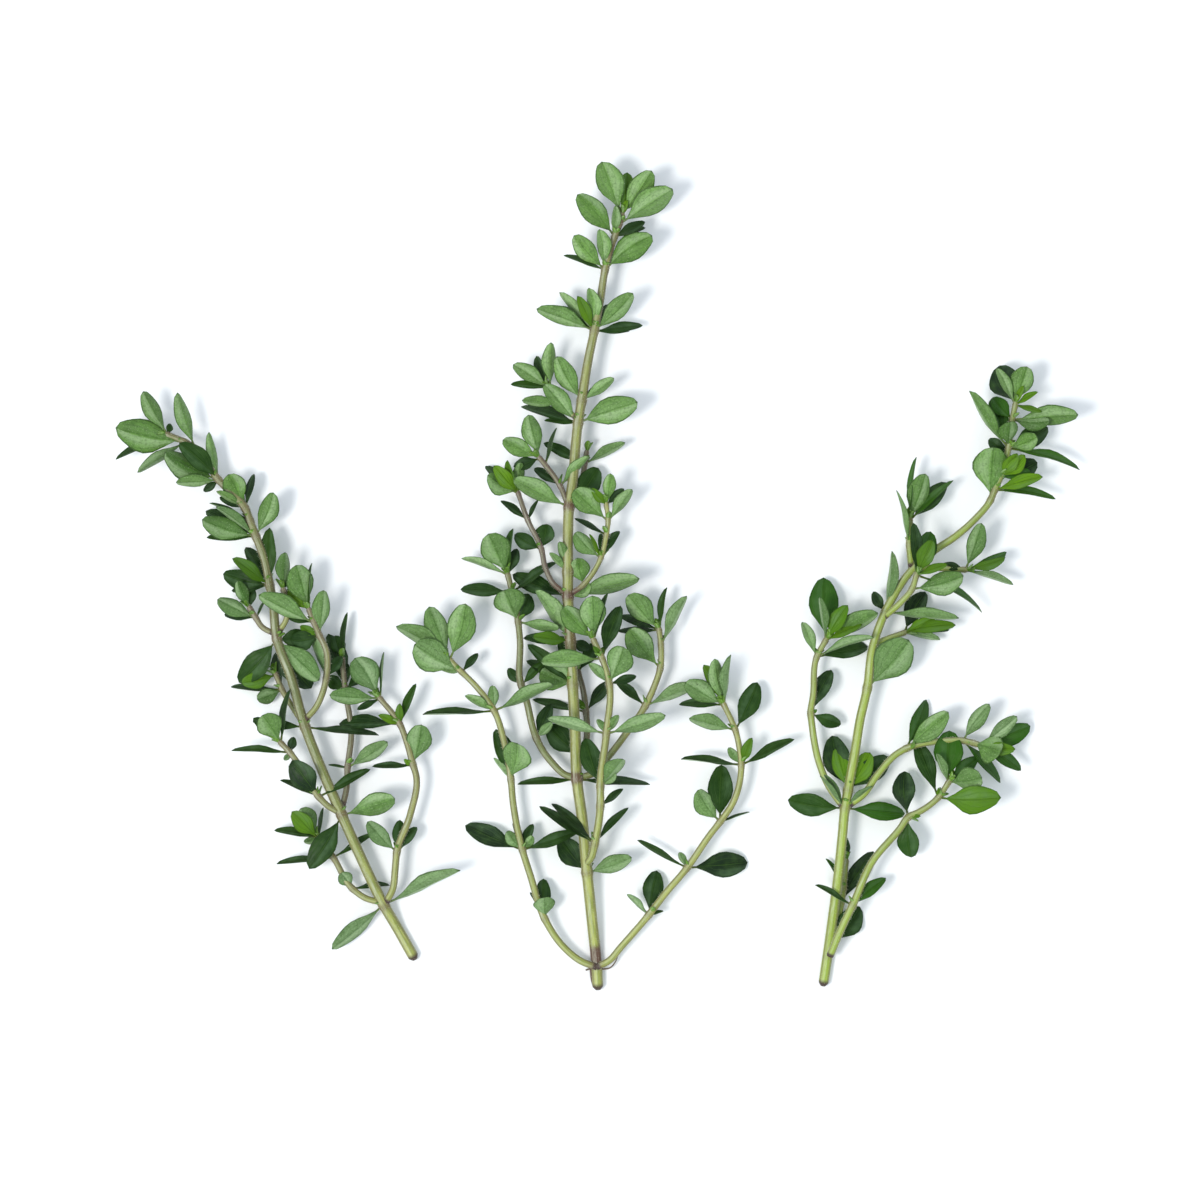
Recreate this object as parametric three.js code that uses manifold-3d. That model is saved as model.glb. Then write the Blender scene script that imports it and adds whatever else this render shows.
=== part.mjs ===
// Three cut sprigs of thyme, a small bundle laid out flat in a fan. Millimetres, +Z up, +Y towards the tips.
// The surface that they lie on is z = 0. Each leafy stem is one closed solid: its stem with its leaves grown into it.

import * as THREE from 'three';
import { mergeVertices } from 'three/addons/utils/BufferGeometryUtils.js';
import Module from 'manifold-3d';

const wasm = await Module();
wasm.setup();

// ---- Driving dimensions ----------------------------------------------------------------------------------------

const CLEARANCE = 0.3;            // air kept between two leafy stems that would touch
const STEM_SIDES = 6;
const BLADE_THICKNESS = 0.8;      // at the midrib
const PETIOLE_HALF_WIDTH = 0.36;
const LOWEST_TIP = 0.45;          // leaf tips that would dip under the surface are lifted to this height
const YOUNG_LENGTH = 4.6;         // shorter leaves have the plainer outline
const FOLD = 0.16;                // how far the edges rise over the midrib, as a share of the half width
const ARCH = 0.07;                // how far the blade arches up between root and tip, as a share of its length
const ROLL_SPREAD = 0.22;         // radians either way
const WIDTH_SPREAD = 0.08;        // share of the width either way
const GOLDEN = 0.61803;           // step of the even spread that sets one leaf off from the next
const SMALLEST_DETAIL = 0.12;     // finer detail left by the joins is closed up
const SMALLEST_EDGE = 0.01;       // shorter edges left by the cut along the surface are closed up
const BUD_LENGTH = 1.3;           // how far the stem's end reaches past its last node
const ROOT_DEPTH = 0.1;           // how far behind its node's middle a leaf starts
const ROOT_HOLD = 0.02;           // cubic millimetres that a root must share with its stem
const TURNED_SHARE = 0.7;         // of what a leaf looks too narrow by, the share that is put down to its turn

// Share of the length, share of the half width, share of the thickness.
const GROWN_OUTLINE = [[0, 0, 0.8], [0.22, 0.35, 0.9], [0.52, 1, 1], [0.83, 0.7, 0.85]];
const YOUNG_OUTLINE = [[0, 0, 0.8], [0.55, 1, 1]];

// How a leaf stands: rise of its tip for each mm that it reaches out, whether its upper face looks up (1) or down (-1),
// and its own width for each mm of length.
const STANCES = {
  pale: { rise: 0.32, faces: -1, slimness: 0.53 },
  broad: { rise: 0.3, faces: -1, slimness: 0.64 },
  front: { rise: 0.65, faces: -1, slimness: 0.62 },
  dark: { rise: -0.22, faces: 1, slimness: 0.52 },
  edge: { rise: 0.02, faces: 1, slimness: 0.42 },
  fresh: { rise: 0.3, faces: 1, slimness: 0.5 },
};

// ---- The growth plan -------------------------------------------------------------------------------------------

// A leaf is where its tip lies from its node, across and along; how wide it looks from above for each mm of length, as
// a narrow one is turned on its side; and, where it differs from the stance's rise, how far its tip is up.
const leafMaker = (stance) => (across, along, wide, up) => ({ stance, across, along, wide, up });
const [pale, broad, front, dark, edge, fresh] = Object.keys(STANCES).map(leafMaker);

const point = (x, y, z, ...leaves) => ({ at: new THREE.Vector3(x, y, z), leaves });
const shoot = (name, baseRadius, tipRadius, ...points) => ({ name, baseRadius, tipRadius, points });

const SHOOTS = [
  shoot('middle_main_stem', 0.85, 0.42,
    point(0.4, -68.8, 0.5), point(0.2, -65.2, 0.6), point(-0.6, -57.2, 2.2),
    point(-1.4, -49.3, 3.2, dark(-4.7, 5.8, 0.53), pale(7.5, 2.8, 0.36)),
    point(-2.2, -40.5, 4),
    point(-3.1, -33.7, 4.3, edge(-9.9, -0.6, 0.15), edge(12.2, -0.3, 0.13)),
    point(-3.4, -25.5, 4.5),
    point(-3.8, -18, 4.6, edge(-7.3, 7, 0.2), dark(-7.7, 4.2, 0.3), dark(5.5, 1.5, 0.3), broad(-1.6, 5.2, 0.9, 1.6)),
    point(-4.2, -10.5, 4.6, pale(-5.7, 8.5, 0.34, 2), dark(-7.9, 0.6, 0.3), fresh(-6.2, 0.6, 0.35)),
    point(-4.6, -3.3, 4.6, dark(-9.3, 3.9, 0.28), dark(-3.2, 4.9, 0.2), pale(11.9, 3.6, 0.25), pale(3.9, 2.1, 0.5)),
    point(-4.6, 0.8, 4.6, pale(-1.3, 5.2, 0.3), pale(-3, 3.3, 0.25)),
    point(-4.6, 6.2, 4.6),
    point(-4.4, 11.7, 4.7, pale(-9.2, 5, 0.36), dark(4.2, 7.2, 0.4, -2)),
    point(-3.9, 15.3, 4.7),
    point(-2.9, 25.7, 4.8, pale(10, 3.4, 0.42), dark(-9.5, 3.2, 0.28), edge(-5.6, 0.6, 0.2),
      pale(-5.6, 6.5, 0.4, 2.6)),
    point(-2.3, 29.4, 4.9, pale(-4.2, 7.3, 0.42), pale(5.3, 3.9, 0.24), dark(3.6, 3, 0.24)),
    point(-1.2, 36.2, 4.9),
    point(-0.2, 41, 4.9, pale(-9.6, 3.7, 0.25), pale(6.4, 6.4, 0.28), dark(8.1, 1.3, 0.2), dark(5.9, 0.2, 0.25),
      edge(-5.7, 6.5, 0.2), dark(-5.8, 4.4, 0.33), fresh(-2.7, 5.7, 0.3), pale(-0.8, 7.1, 0.4), dark(0.3, 6, 0.25),
      dark(2.3, 4.8, 0.3, -3)),
    point(0.8, 46.2, 5),
    point(1.6, 51.2, 5, edge(-6.8, 2.6, 0.2), pale(-5.2, 5.6, 0.42), pale(-0.8, 6.7, 0.4), pale(7.9, 5.6, 0.48),
      dark(0.9, 5, 0.35, -5.3)),
    point(3.2, 56.7, 5, pale(-6.4, 6.9, 0.42), edge(5, 2.6, 0.3), dark(5.1, 1.7, 0.3), pale(0.2, 5.1, 0.32)),
    point(4.4, 60.3, 5.2, broad(-3.2, 8.8, 0.6), pale(5, 7.2, 0.45), broad(8.3, 4.5, 0.46), fresh(0.9, 2.4, 0.4),
      dark(1, 7.2, 0.4))),
  shoot('middle_low_left_shoot', 0.6, 0.42,
    point(0.2, -65.2, 1.6), point(-2.4, -64.2, 1.9), point(-5.5, -61.6, 2.3),
    point(-8.5, -57, 3, front(-0.1, 3.8, 0.95), dark(-0.3, 6.6, 0.42), dark(-2.3, 4.4, 0.25)),
    point(-10.9, -49.7, 3.4),
    point(-12.2, -45.5, 3.6, dark(-9.6, 4.2, 0.3), edge(9.3, 3.2, 0.2), pale(-2.7, 3.2, 0.5), pale(1.8, 2.4, 0.5),
      dark(-1.5, 4.5, 0.3), dark(1.7, 4.3, 0.34)),
    point(-13.8, -37.2, 3.9),
    point(-14.1, -33.8, 4, front(1.2, 6.5, 0.8), dark(-2.4, 8.5, 0.36), edge(-2.8, 3.7, 0.2)),
    point(-15.1, -28, 4.2),
    point(-16.9, -22.3, 4.4, edge(-11.9, -0.1, 0.13), pale(9.9, 4.9, 0.2), pale(-4.8, 2.7, 0.34),
      fresh(-0.3, 4.3, 0.44)),
    point(-20.1, -18, 4.6),
    point(-22.3, -15.8, 4.8, dark(2.6, 3.2, 0.3), dark(-3.5, 0.5, 0.4, -4.4), broad(-7.9, 4.6, 0.6, 3.6)),
    point(-24.3, -13.8, 5, pale(-8.7, 6, 0.34, 2.2), pale(-3.6, 8.9, 0.42, 2.4), pale(2.8, 9.5, 0.48))),
  shoot('middle_low_right_shoot', 0.6, 0.42,
    point(0.2, -65.2, 1.6), point(2.3, -64.1, 1.9), point(4.1, -62, 2.3),
    point(8.9, -56.4, 3, pale(-3.6, 3.6, 0.25), dark(1.4, 7.4, 0.48), edge(2.4, 0.7, 0.25)),
    point(11.6, -52.9, 3.2),
    point(15.3, -48.5, 3.5, edge(-8.2, 4.8, 0.12), dark(10.3, 1, 0.38), fresh(-1.3, 2.7, 0.4)),
    point(19.1, -43, 3.8),
    point(20.8, -40.8, 4, pale(-3.9, 5.4, 0.55), dark(0.3, 9.5, 0.43), edge(4.8, 1.8, 0.12)),
    point(22.9, -37.7, 4.2),
    point(24.3, -31.3, 4.4, edge(-10, 1.3, 0.14), edge(8.7, 4.5, 0.17), fresh(-2.2, 3, 0.38), fresh(1.7, 4.5, 0.36)),
    point(23.9, -28, 4.6),
    point(23.3, -25.5, 4.8, pale(-7.8, 2.2, 0.38), dark(3.7, 8, 0.4)),
    point(21.4, -21.3, 5, dark(-7.5, 0.3, 0.2), pale(-6.6, 3.9, 0.5), dark(-3.3, 6.7, 0.3), pale(-1.9, 7.8, 0.3),
      pale(0.8, 8.5, 0.27))),
  shoot('middle_front_shoot', 0.6, 0.42,
    point(-1.4, -47.8, 3.4), point(-0.6, -46.4, 5.4),
    point(-0.1, -44.3, 6.6, dark(-7.1, 6.7, 0.18), dark(-9.2, 6.2, 0.12, -3), dark(5.4, 6.1, 0.16)),
    point(0.8, -38, 8.2, edge(3.7, 2.9, 0.28)),
    point(0.8, -34.7, 8.6, front(3.7, 4.8, 0.55), pale(2.6, 2.3, 0.5), dark(-2.5, 8, 0.42)),
    point(1.8, -26, 9.2, pale(-9.8, 2.9, 0.2), pale(9.8, 3.3, 0.24), fresh(-1.5, 2.5, 0.4), fresh(2, 3.2, 0.4)),
    point(2.3, -17.7, 9.6, front(2.4, 6.3, 0.68), dark(4.5, 1.4, 0.3), pale(-3.4, 3.5, 0.35)),
    point(1.1, -13.5, 9.8, pale(-10.2, -0.3, 0.3), fresh(-1.5, 2, 0.4), dark(2.8, 8.9, 0.32)),
    point(-0.3, -10.5, 10, broad(-0.3, 7.5, 0.62), pale(-5.2, 5.5, 0.48), edge(2, 7.9, 0.12))),
  shoot('middle_back_shoot', 0.5, 0.4,
    point(-3.4, -32.6, 3),
    point(-2.2, -30, 1.8, dark(-5.9, 5.2, 0.55)),
    point(-1.4, -26.3, 1.5),
    point(-1.6, -22.5, 1.5, dark(-8.9, 2.2, 0.16), dark(4.1, 5.2, 0.36), fresh(-1.4, 2.2, 0.45)),
    point(-2.1, -18.8, 1.5),
    point(-2.9, -15.8, 1.5, dark(-3, 6, 0.4), dark(3, 5, 0.4))),
  shoot('middle_left_second_shoot', 0.55, 0.42,
    point(-3.3, -33.5, 4.3), point(-5, -33, 4.1), point(-7.3, -30.9, 3.8), point(-9.3, -28.1, 3.6),
    point(-9.9, -26.8, 3.5, pale(2.7, 2.7, 0.4), dark(2.4, 5.7, 0.42)),
    point(-11.8, -19.7, 3.5),
    point(-12.4, -18, 3.5, dark(-2.2, 2.8, 0.5), edge(4.2, 4.1, 0.28)),
    point(-12.6, -10.5, 3.8),
    point(-12.9, -7.5, 3.9, front(-2.3, 5.6, 0.8), dark(1.7, 4.8, 0.6), pale(7, -0.9, 0.25)),
    point(-13.9, -2.5, 4, dark(-8.7, 0.8, 0.28), edge(7.2, 5.2, 0.2)),
    point(-14.6, 0.3, 4.2, broad(-2.7, 7, 0.6), edge(-7.7, 2.9, 0.14), edge(0.5, 7.8, 0.2), dark(1.5, 4.5, 0.4))),
  shoot('middle_right_second_shoot', 0.55, 0.42,
    point(-2.9, -33.5, 4.2), point(-0.7, -32.9, 3.9), point(2.3, -29.8, 3.4), point(4.9, -26.4, 3.2),
    point(8.3, -21.5, 3.4, pale(8.7, 3.8, 0.22), dark(-4.9, 4.5, 0.25), dark(-3.9, -1.3, 0.4)),
    point(9.9, -18, 3.8),
    point(10.8, -15.2, 4.2, broad(-5.3, 6.7, 0.52)),
    point(10.9, -11.3, 4.4, pale(4.1, 8.3, 0.22)),
    point(10.6, -8.8, 4.6, pale(-5.2, 5.9, 0.55), edge(1, 7.1, 0.16), dark(-6.5, 2.5, 0.25), dark(-6.9, -0.1, 0.25))),
  shoot('middle_left_third_shoot', 0.5, 0.4,
    point(-4.8, -2.9, 4.6), point(-7.1, -1, 5), point(-8.4, 1.7, 5),
    point(-9, 4.6, 4.8, pale(-4.5, 2.3, 0.4), dark(0.3, 4.2, 0.75)),
    point(-11.3, 9.5, 4.5, edge(1.7, 3.4, 0.2), dark(-4.5, 3.3, 0.25)),
    point(-12.9, 14, 4.4, pale(-5.2, 3.7, 0.5), fresh(-4, 4.5, 0.42), fresh(-1.8, 5.4, 0.3), pale(0.3, 5.2, 0.4),
      dark(-5.5, 4.8, 0.3, -3))),
  shoot('middle_right_third_shoot', 0.5, 0.4,
    point(-4.2, -2.9, 4.6),
    point(-2, -1.3, 5.4, pale(-1.5, 4.6, 0.55, 0.6)),
    point(-0.2, 1, 5.6),
    point(0.9, 3.2, 5.8, pale(-4.5, 3.6, 0.46), dark(3, 4.6, 0.33), dark(0.1, 4.1, 0.35), fresh(-1.9, 3.9, 0.2)),
    point(1.8, 7, 6, dark(-5.2, 3, 0.15)),
    point(2.1, 9.3, 6.2, pale(3.9, 5.4, 0.36), broad(-5.7, 5.3, 0.55)),
    point(1.8, 12, 6.4, pale(0.7, 5.3, 0.4), dark(2.9, 2.8, 0.35), fresh(-2.5, 2.7, 0.4))),
  shoot('middle_left_fourth_shoot', 0.5, 0.4,
    point(-4.7, 12.2, 4.8),
    point(-5.9, 15.2, 5.2, pale(4.7, 5, 0.3, 1.3), dark(-4.3, 3.1, 0.33)),
    point(-8.4, 18.7, 5.6, edge(1.7, 6.2, 0.16)),
    point(-9.3, 19.8, 5.8, pale(-6.2, 3.1, 0.43), pale(-2, 7.2, 0.47))),
  shoot('middle_right_fourth_shoot', 0.45, 0.4,
    point(-4.3, 12.6, 4.2), point(-3, 14.2, 2.6), point(-2, 17.4, 2.2),
    point(-1.8, 19, 2.2, edge(6.7, 3.6, 0.2, 2), dark(-6.8, 3.5, 0.2, 0.3)),
    point(-1.5, 20.8, 2.2)),
  shoot('middle_left_fifth_shoot', 0.5, 0.4,
    point(-3.2, 26.4, 4.9),
    point(-5.5, 28.8, 4.4, pale(-6.8, 0.8, 0.23)),
    point(-7.6, 31.5, 4.2, pale(-6.1, 4, 0.36), dark(-2.4, 5.4, 0.36), pale(-0.1, 7.6, 0.31), edge(-6.5, 0.9, 0.18))),

  shoot('left_main_stem', 0.83, 0.45,
    point(-30.3, -63.8, 0.5), point(-32.6, -59.7, 0.7),
    point(-35.4, -54.7, 2.4, pale(-8.8, -7.2, 0.18, 1), pale(12.9, 6.2, 0.19)),
    point(-39.6, -45.8, 3.5),
    point(-42.3, -39.7, 4, dark(-5.5, -8.8, 0.37, 1.2), pale(9.1, 3.1, 0.42)),
    point(-45.6, -32.2, 4.2),
    point(-48.4, -25, 4.4, edge(12.3, -1, 0.13), edge(-8.7, 1.3, 0.15)),
    point(-50.9, -16.3, 4.5),
    point(-53.1, -10.3, 4.6, dark(-6.6, -7.4, 0.3), dark(5.6, -8.4, 0.35), pale(7.6, -6.8, 0.27)),
    point(-53.8, -3.8, 4.7),
    point(-54.3, -1.3, 4.7, dark(-8, 1.9, 0.4), fresh(-6, 4.4, 0.36), dark(-4, 6.5, 0.33), dark(-6.5, -0.8, 0.3),
      edge(-0.2, 9.5, 0.3)),
    point(-55.1, 2.8, 4.7),
    point(-56.6, 6.8, 4.7, pale(3.1, 7.3, 0.42), pale(-8.9, 2.8, 0.34), dark(-8.5, 4.5, 0.2), edge(-8.2, 0, 0.15),
      pale(-6.3, 5.2, 0.22), dark(-3.3, 3.4, 0.22)),
    point(-57.6, 9.4, 4.7, edge(-6.6, 3.1, 0.13)),
    point(-58.4, 11.5, 4.7, broad(-2.7, 5.6, 0.62), dark(1.2, 5.8, 0.28), pale(-4.6, 2.9, 0.25),
      dark(-4.3, 1.9, 0.3)),
    point(-60.9, 14.2, 4.8),
    point(-62.8, 16.2, 4.9, pale(-9, 4.4, 0.46), pale(-7, -0.3, 0.27), dark(-2.6, -1.9, 0.4), edge(-1.7, 7.9, 0.22),
      fresh(-3.1, 5, 0.4), dark(2.6, -2.4, 0.5, -5.2)),
    point(-66.8, 21.5, 5, pale(-2.8, 9.1, 0.3)),
    point(-68.4, 22.5, 5, pale(-7.9, -4.9, 0.2), pale(-11.4, 2.1, 0.5)),
    point(-71.3, 23.7, 5.2, pale(-4, 7.1, 0.32), edge(-8.7, -3.9, 0.15), dark(0.4, 1.9, 0.6))),
  shoot('left_low_left_shoot', 0.5, 0.4,
    point(-35.9, -54.3, 2.6), point(-38.4, -53.6, 2.9),
    point(-40.6, -52, 3, pale(-1.9, 2.7, 0.75), edge(6.2, 0.6, 0.2, -1.8)),
    point(-43.8, -46.8, 2.8, edge(-9.5, -0.7, 0.1), edge(6.5, 4.2, 0.14, -1.2)),
    point(-46.3, -43.5, 2.6, broad(-2.9, 5, 0.68), fresh(-4.3, 4.4, 0.5), edge(-7.3, 1.5, 0.15),
      pale(-2.4, -0.7, 0.5), dark(0.7, 5, 0.12))),
  shoot('left_low_right_shoot', 0.55, 0.4,
    point(-34.9, -54.2, 2.8), point(-33.8, -52, 3.8), point(-33.4, -48.8, 4.3),
    point(-33.1, -45.8, 4.4, pale(-4.9, 5.3, 0.4), dark(3.2, 4.2, 0.33), dark(0.5, 5.3, 0.4)),
    point(-30.9, -39.7, 4.5), point(-29.9, -33, 4.6),
    point(-30.4, -31.3, 4.6, edge(-6.8, -0.1, 0.17), broad(1.5, 6.9, 0.6), fresh(-1.5, 0.9, 0.5)),
    point(-31.3, -28, 4.7),
    point(-32.6, -24.5, 4.8, edge(2.5, 6.8, 0.17), fresh(0, 3.4, 0.4), dark(-10.3, 0.3, 0.25),
      fresh(-3.5, 1.5, 0.36)),
    point(-35.9, -20.2, 5, broad(-4.1, 6.8, 0.55), pale(-8.4, 0.8, 0.29), dark(-3.9, -1.8, 0.25),
      edge(0.5, 7.7, 0.1))),
  shoot('left_second_shoot', 0.5, 0.4,
    point(-42.6, -39.3, 4.2), point(-44.5, -38.2, 4.8),
    point(-46.1, -36.6, 5.2, dark(-4.3, 6, 0.58), edge(-6.3, 3, 0.15), edge(8.4, 4.8, 0.14, -2.5)),
    point(-49.9, -30.5, 5.4),
    point(-50.9, -29.2, 5.4, edge(-9.7, 0.5, 0.1), dark(0.6, 2.6, 0.6), pale(-0.9, -1.3, 0.6)),
    point(-52.4, -27.6, 5.4, front(-2.9, 4.8, 0.78), dark(-4.6, 4.3, 0.4), edge(1.2, 9, 0.12))),
  shoot('left_brown_shoot', 0.48, 0.4,
    point(-42.2, -38.2, 3.6), point(-41.6, -35.5, 2.8),
    point(-41.4, -31.8, 2.6, pale(6.8, 4.5, 0.28), edge(-3.2, 0.5, 0.12)),
    point(-40.8, -26.3, 2.4),
    point(-41.8, -18.8, 2.4, dark(-2.8, 9.4, 0.3), dark(3.4, 3, 0.4)),
    point(-42.3, -13.8, 2.6, edge(0.6, 7.9, 0.1))),
  shoot('left_back_shoot', 0.45, 0.4,
    point(-49.2, -23.8, 3.8), point(-50.9, -21.3, 2.2),
    point(-52.4, -18.8, 2, pale(-4.1, -1.6, 0.6, 1.5), dark(-8.7, 0.7, 0.16), dark(-1.2, 6.3, 0.35)),
    point(-53.4, -16.3, 2, fresh(-5.7, -1.3, 0.5, 1.5))),
  shoot('left_third_shoot', 0.5, 0.4,
    point(-48.2, -23.6, 4.6), point(-46.6, -21.8, 5.6),
    point(-44.8, -16.8, 6, dark(2.5, 3.7, 0.4), pale(-2.6, 8, 0.27, -1)),
    point(-44.8, -12.2, 6.2),
    point(-45.9, -9.7, 6.3, pale(0.7, 7.6, 0.46), fresh(-3.3, 1.5, 0.36), dark(-4.9, -0.9, 0.7)),
    point(-46.8, -7.6, 6.4, dark(-5.1, 1.4, 0.36, -1.4), pale(-9, 4.8, 0.34)),
    point(-47.6, -5.5, 6.6, broad(-2.2, 7.6, 0.6), fresh(-4, 3.4, 0.4), edge(0.2, 7.8, 0.15))),
  shoot('left_fourth_shoot', 0.45, 0.4,
    point(-53.6, -9.4, 4.6), point(-55.6, -8.3, 4.6),
    point(-56.6, -6.8, 4.6, pale(-6.3, 3.1, 0.42), dark(-5.4, 0.7, 0.33), edge(1.6, 3.4, 0.15, -2)),
    point(-57.6, -5.2, 4.8, pale(-2, 4.6, 0.42), dark(0.3, 3.6, 0.5))),
  shoot('left_fifth_shoot', 0.45, 0.4,
    point(-52.6, -9, 4.8), point(-51.4, -6.8, 5.8), point(-51.4, -4.7, 6.2),
    point(-51.9, -2.2, 6.4, pale(0.3, 6.4, 0.42), dark(0.9, 3.2, 0.6))),

  shoot('right_main_stem', 0.78, 0.42,
    point(38.1, -68.2, 0.5), point(38.8, -63.5, 0.7), point(39.6, -57.2, 2.3), point(40.4, -50.5, 3.8),
    point(41.1, -43.8, 4.2),
    point(41.6, -38.5, 4.4, dark(-9.5, 1.3, 0.38), dark(10.3, -0.8, 0.3), edge(-4.2, 5.6, 0.13, 3.4),
      pale(4.4, 3.8, 0.22), pale(-3.4, 5.8, 0.14)),
    point(42.1, -35.5, 4.5, dark(-2.7, 9.1, 0.42), fresh(-0.9, 6.8, 0.36), fresh(3.8, 6, 0.42), dark(7, 5.7, 0.4)),
    point(43.3, -28.8, 4.5), point(44.1, -23.8, 4.5),
    point(45.3, -18.5, 4.5, broad(6.8, 8.2, 0.6)),
    point(46.1, -12.2, 4.5),
    point(48.3, -5.8, 4.6, pale(1.2, 10.1, 0.18, 1.5), pale(12.2, -0.6, 0.19, 1.5), fresh(3.5, 0.6, 0.3),
      dark(-2, 3.4, 0.45)),
    point(49.6, -3.3, 4.7), point(52.4, 0.8, 4.8), point(56.6, 4.5, 4.9), point(59.9, 6.7, 5), point(63.3, 9.7, 5),
    point(65.8, 12.8, 5, broad(0.3, 8.9, 0.7), edge(10.9, 0.4, 0.14)),
    point(67.4, 16.6, 5, fresh(6.8, -0.2, 0.32), fresh(2.4, 3.7, 0.36), dark(4.3, 2.9, 0.36), dark(6.4, 2.3, 0.32)),
    point(68.8, 21.5, 5, edge(12, -3.1, 0.14), pale(-6.6, 9.6, 0.16), front(-0.3, 4.3, 0.75), front(5.3, 0.8, 0.48),
      dark(6.8, 3.6, 0.34), dark(-2.7, 5.2, 0.35, -5.3)),
    point(69.4, 26.2, 5.2, pale(10.8, 1.1, 0.28), pale(6.1, 0, 0.45), dark(-3.2, 3.8, 0.55)),
    point(69.9, 28.7, 5.4, dark(-2.6, 6.6, 0.74), broad(1.7, 6.4, 0.62), fresh(3.6, 2.1, 0.28), fresh(1.3, 3.1, 0.3),
      pale(-3.1, 6.2, 0.24), fresh(4.3, -1.2, 0.25))),
  shoot('right_low_front_shoot', 0.6, 0.42,
    point(39.2, -63.2, 2.4), point(40.4, -60, 4.2), point(41.6, -57.2, 5),
    point(42.8, -54.7, 5.2, edge(-6.1, 3.6, 0.15), dark(5.6, 4.6, 0.3)),
    point(46.1, -47.4, 5.2), point(50.8, -41.8, 5),
    point(52.1, -40, 5, dark(-0.6, 7.7, 0.5), dark(0.6, -6.9, 0.55), fresh(2, 0.2, 0.35)),
    point(53.8, -39.2, 5),
    point(57.1, -36.7, 5.2, dark(-3.3, 9.6, 0.27), fresh(10.1, 0, 0.46), fresh(0, 1.6, 0.4)),
    point(58.8, -34.2, 5.4, front(5.4, 1, 0.85), dark(0.3, 8.7, 0.55), pale(-2, 5, 0.3), dark(4.9, 4.2, 0.4))),
  shoot('right_low_back_shoot', 0.45, 0.4,
    point(39.7, -61.2, 1.6, dark(4.6, 6.1, 0.55)),
    point(40.6, -57.2, 1.3),
    point(41.2, -54.3, 1.3, dark(5.1, 8.6, 0.32)),
    point(41.5, -52.2, 1.3, edge(-2.8, 5.2, 0.15)),
    point(41.9, -47.5, 1.5, edge(0, 4.2, 0.2))),
  shoot('right_left_shoot', 0.55, 0.42,
    point(41.2, -38.2, 4.4), point(38.8, -34.7, 4.2), point(37.4, -31.3, 4), point(36.1, -24.7, 4),
    point(35.9, -22.7, 4, dark(5.2, -1.9, 0.42), fresh(1, 0.6, 0.5), dark(3.4, 7.3, 0.38)),
    point(36.3, -19.7, 4),
    point(36.9, -13.3, 4.2, pale(-2.4, 6, 0.28), dark(8.8, 2, 0.36, -3.6), pale(9.3, 3.5, 0.18)),
    point(38.4, -10.5, 4.6, dark(-0.3, 10.5, 0.47), pale(-0.9, 7.3, 0.2, 4), pale(8.5, 4.8, 0.36),
      fresh(3.5, 5.8, 0.4), fresh(5.8, 2.7, 0.35))),
  shoot('right_second_shoot', 0.55, 0.42,
    point(42.3, -38, 4.4), point(44.6, -36.3, 3.6), point(47, -33, 3.2), point(50.4, -29.4, 3.3),
    point(51.9, -28.6, 3.4, dark(3.7, 8.1, 0.36), pale(7, 6.1, 0.38)),
    point(57.4, -27.4, 3.8),
    point(61.3, -27.3, 4, pale(4.3, 6.2, 0.32), dark(6.7, -6.9, 0.2)),
    point(63, -27.7, 4.2, front(4.6, -1.3, 1.1)),
    point(64.6, -28.2, 4.4, pale(5.6, 5, 0.3), dark(8.3, 3.2, 0.4), fresh(5.2, -0.5, 0.45), dark(6.4, -3.9, 0.22))),
  shoot('right_third_back_shoot', 0.45, 0.4,
    point(46.2, -11.4, 4.2), point(48.4, -10.4, 2.8),
    point(51.6, -9.3, 2.4, dark(3.6, 6.9, 0.45), fresh(8.3, 1.5, 0.12), fresh(5, 2.6, 0.3), dark(7.6, 0.6, 0.15),
      edge(6, -0.9, 0.16))),
  shoot('right_front_fork_shoot', 0.5, 0.4,
    point(48.9, -6.3, 5), point(50.9, -4.1, 6.5),
    point(52.6, -2, 7.2, pale(8.5, 2.2, 0.46)),
    point(53.3, 0.3, 7.8, dark(-0.5, 8.6, 0.25, 3), dark(2.5, 7.3, 0.46), fresh(2.5, 5.8, 0.47), fresh(5, 1.8, 0.25),
      edge(11.4, -5.9, 0.12, -4))),
  shoot('right_up_shoot', 0.5, 0.4,
    point(52.6, 1.6, 4.8),
    point(52.3, 5.3, 4.4, pale(-2, 9.2, 0.17)),
    point(52.4, 9.5, 4.6, pale(2.4, 7.8, 0.45), edge(0.8, 10.5, 0.09), dark(6.2, 6.4, 0.33), pale(6.9, 6.9, 0.12))),
  shoot('right_cluster_shoot', 0.5, 0.4,
    point(53.6, 1.6, 4.7), point(57, 1.5, 4.5), point(59.6, 1.3, 4.7),
    point(61.6, 1.2, 5.2, dark(-4, 0.9, 0.3), pale(2.2, 7.8, 0.33), dark(7.2, 2.7, 0.25), fresh(6.5, 1.9, 0.3),
      edge(8, -2.3, 0.12))),
];

// Where the middle of the whole bundle's box lies in the plan.
const PLAN_CENTRE = new THREE.Vector3(0.4, 0.127, 0);

// ---- Solids ----------------------------------------------------------------------------------------------------

const UP = new THREE.Vector3(0, 0, 1);

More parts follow.
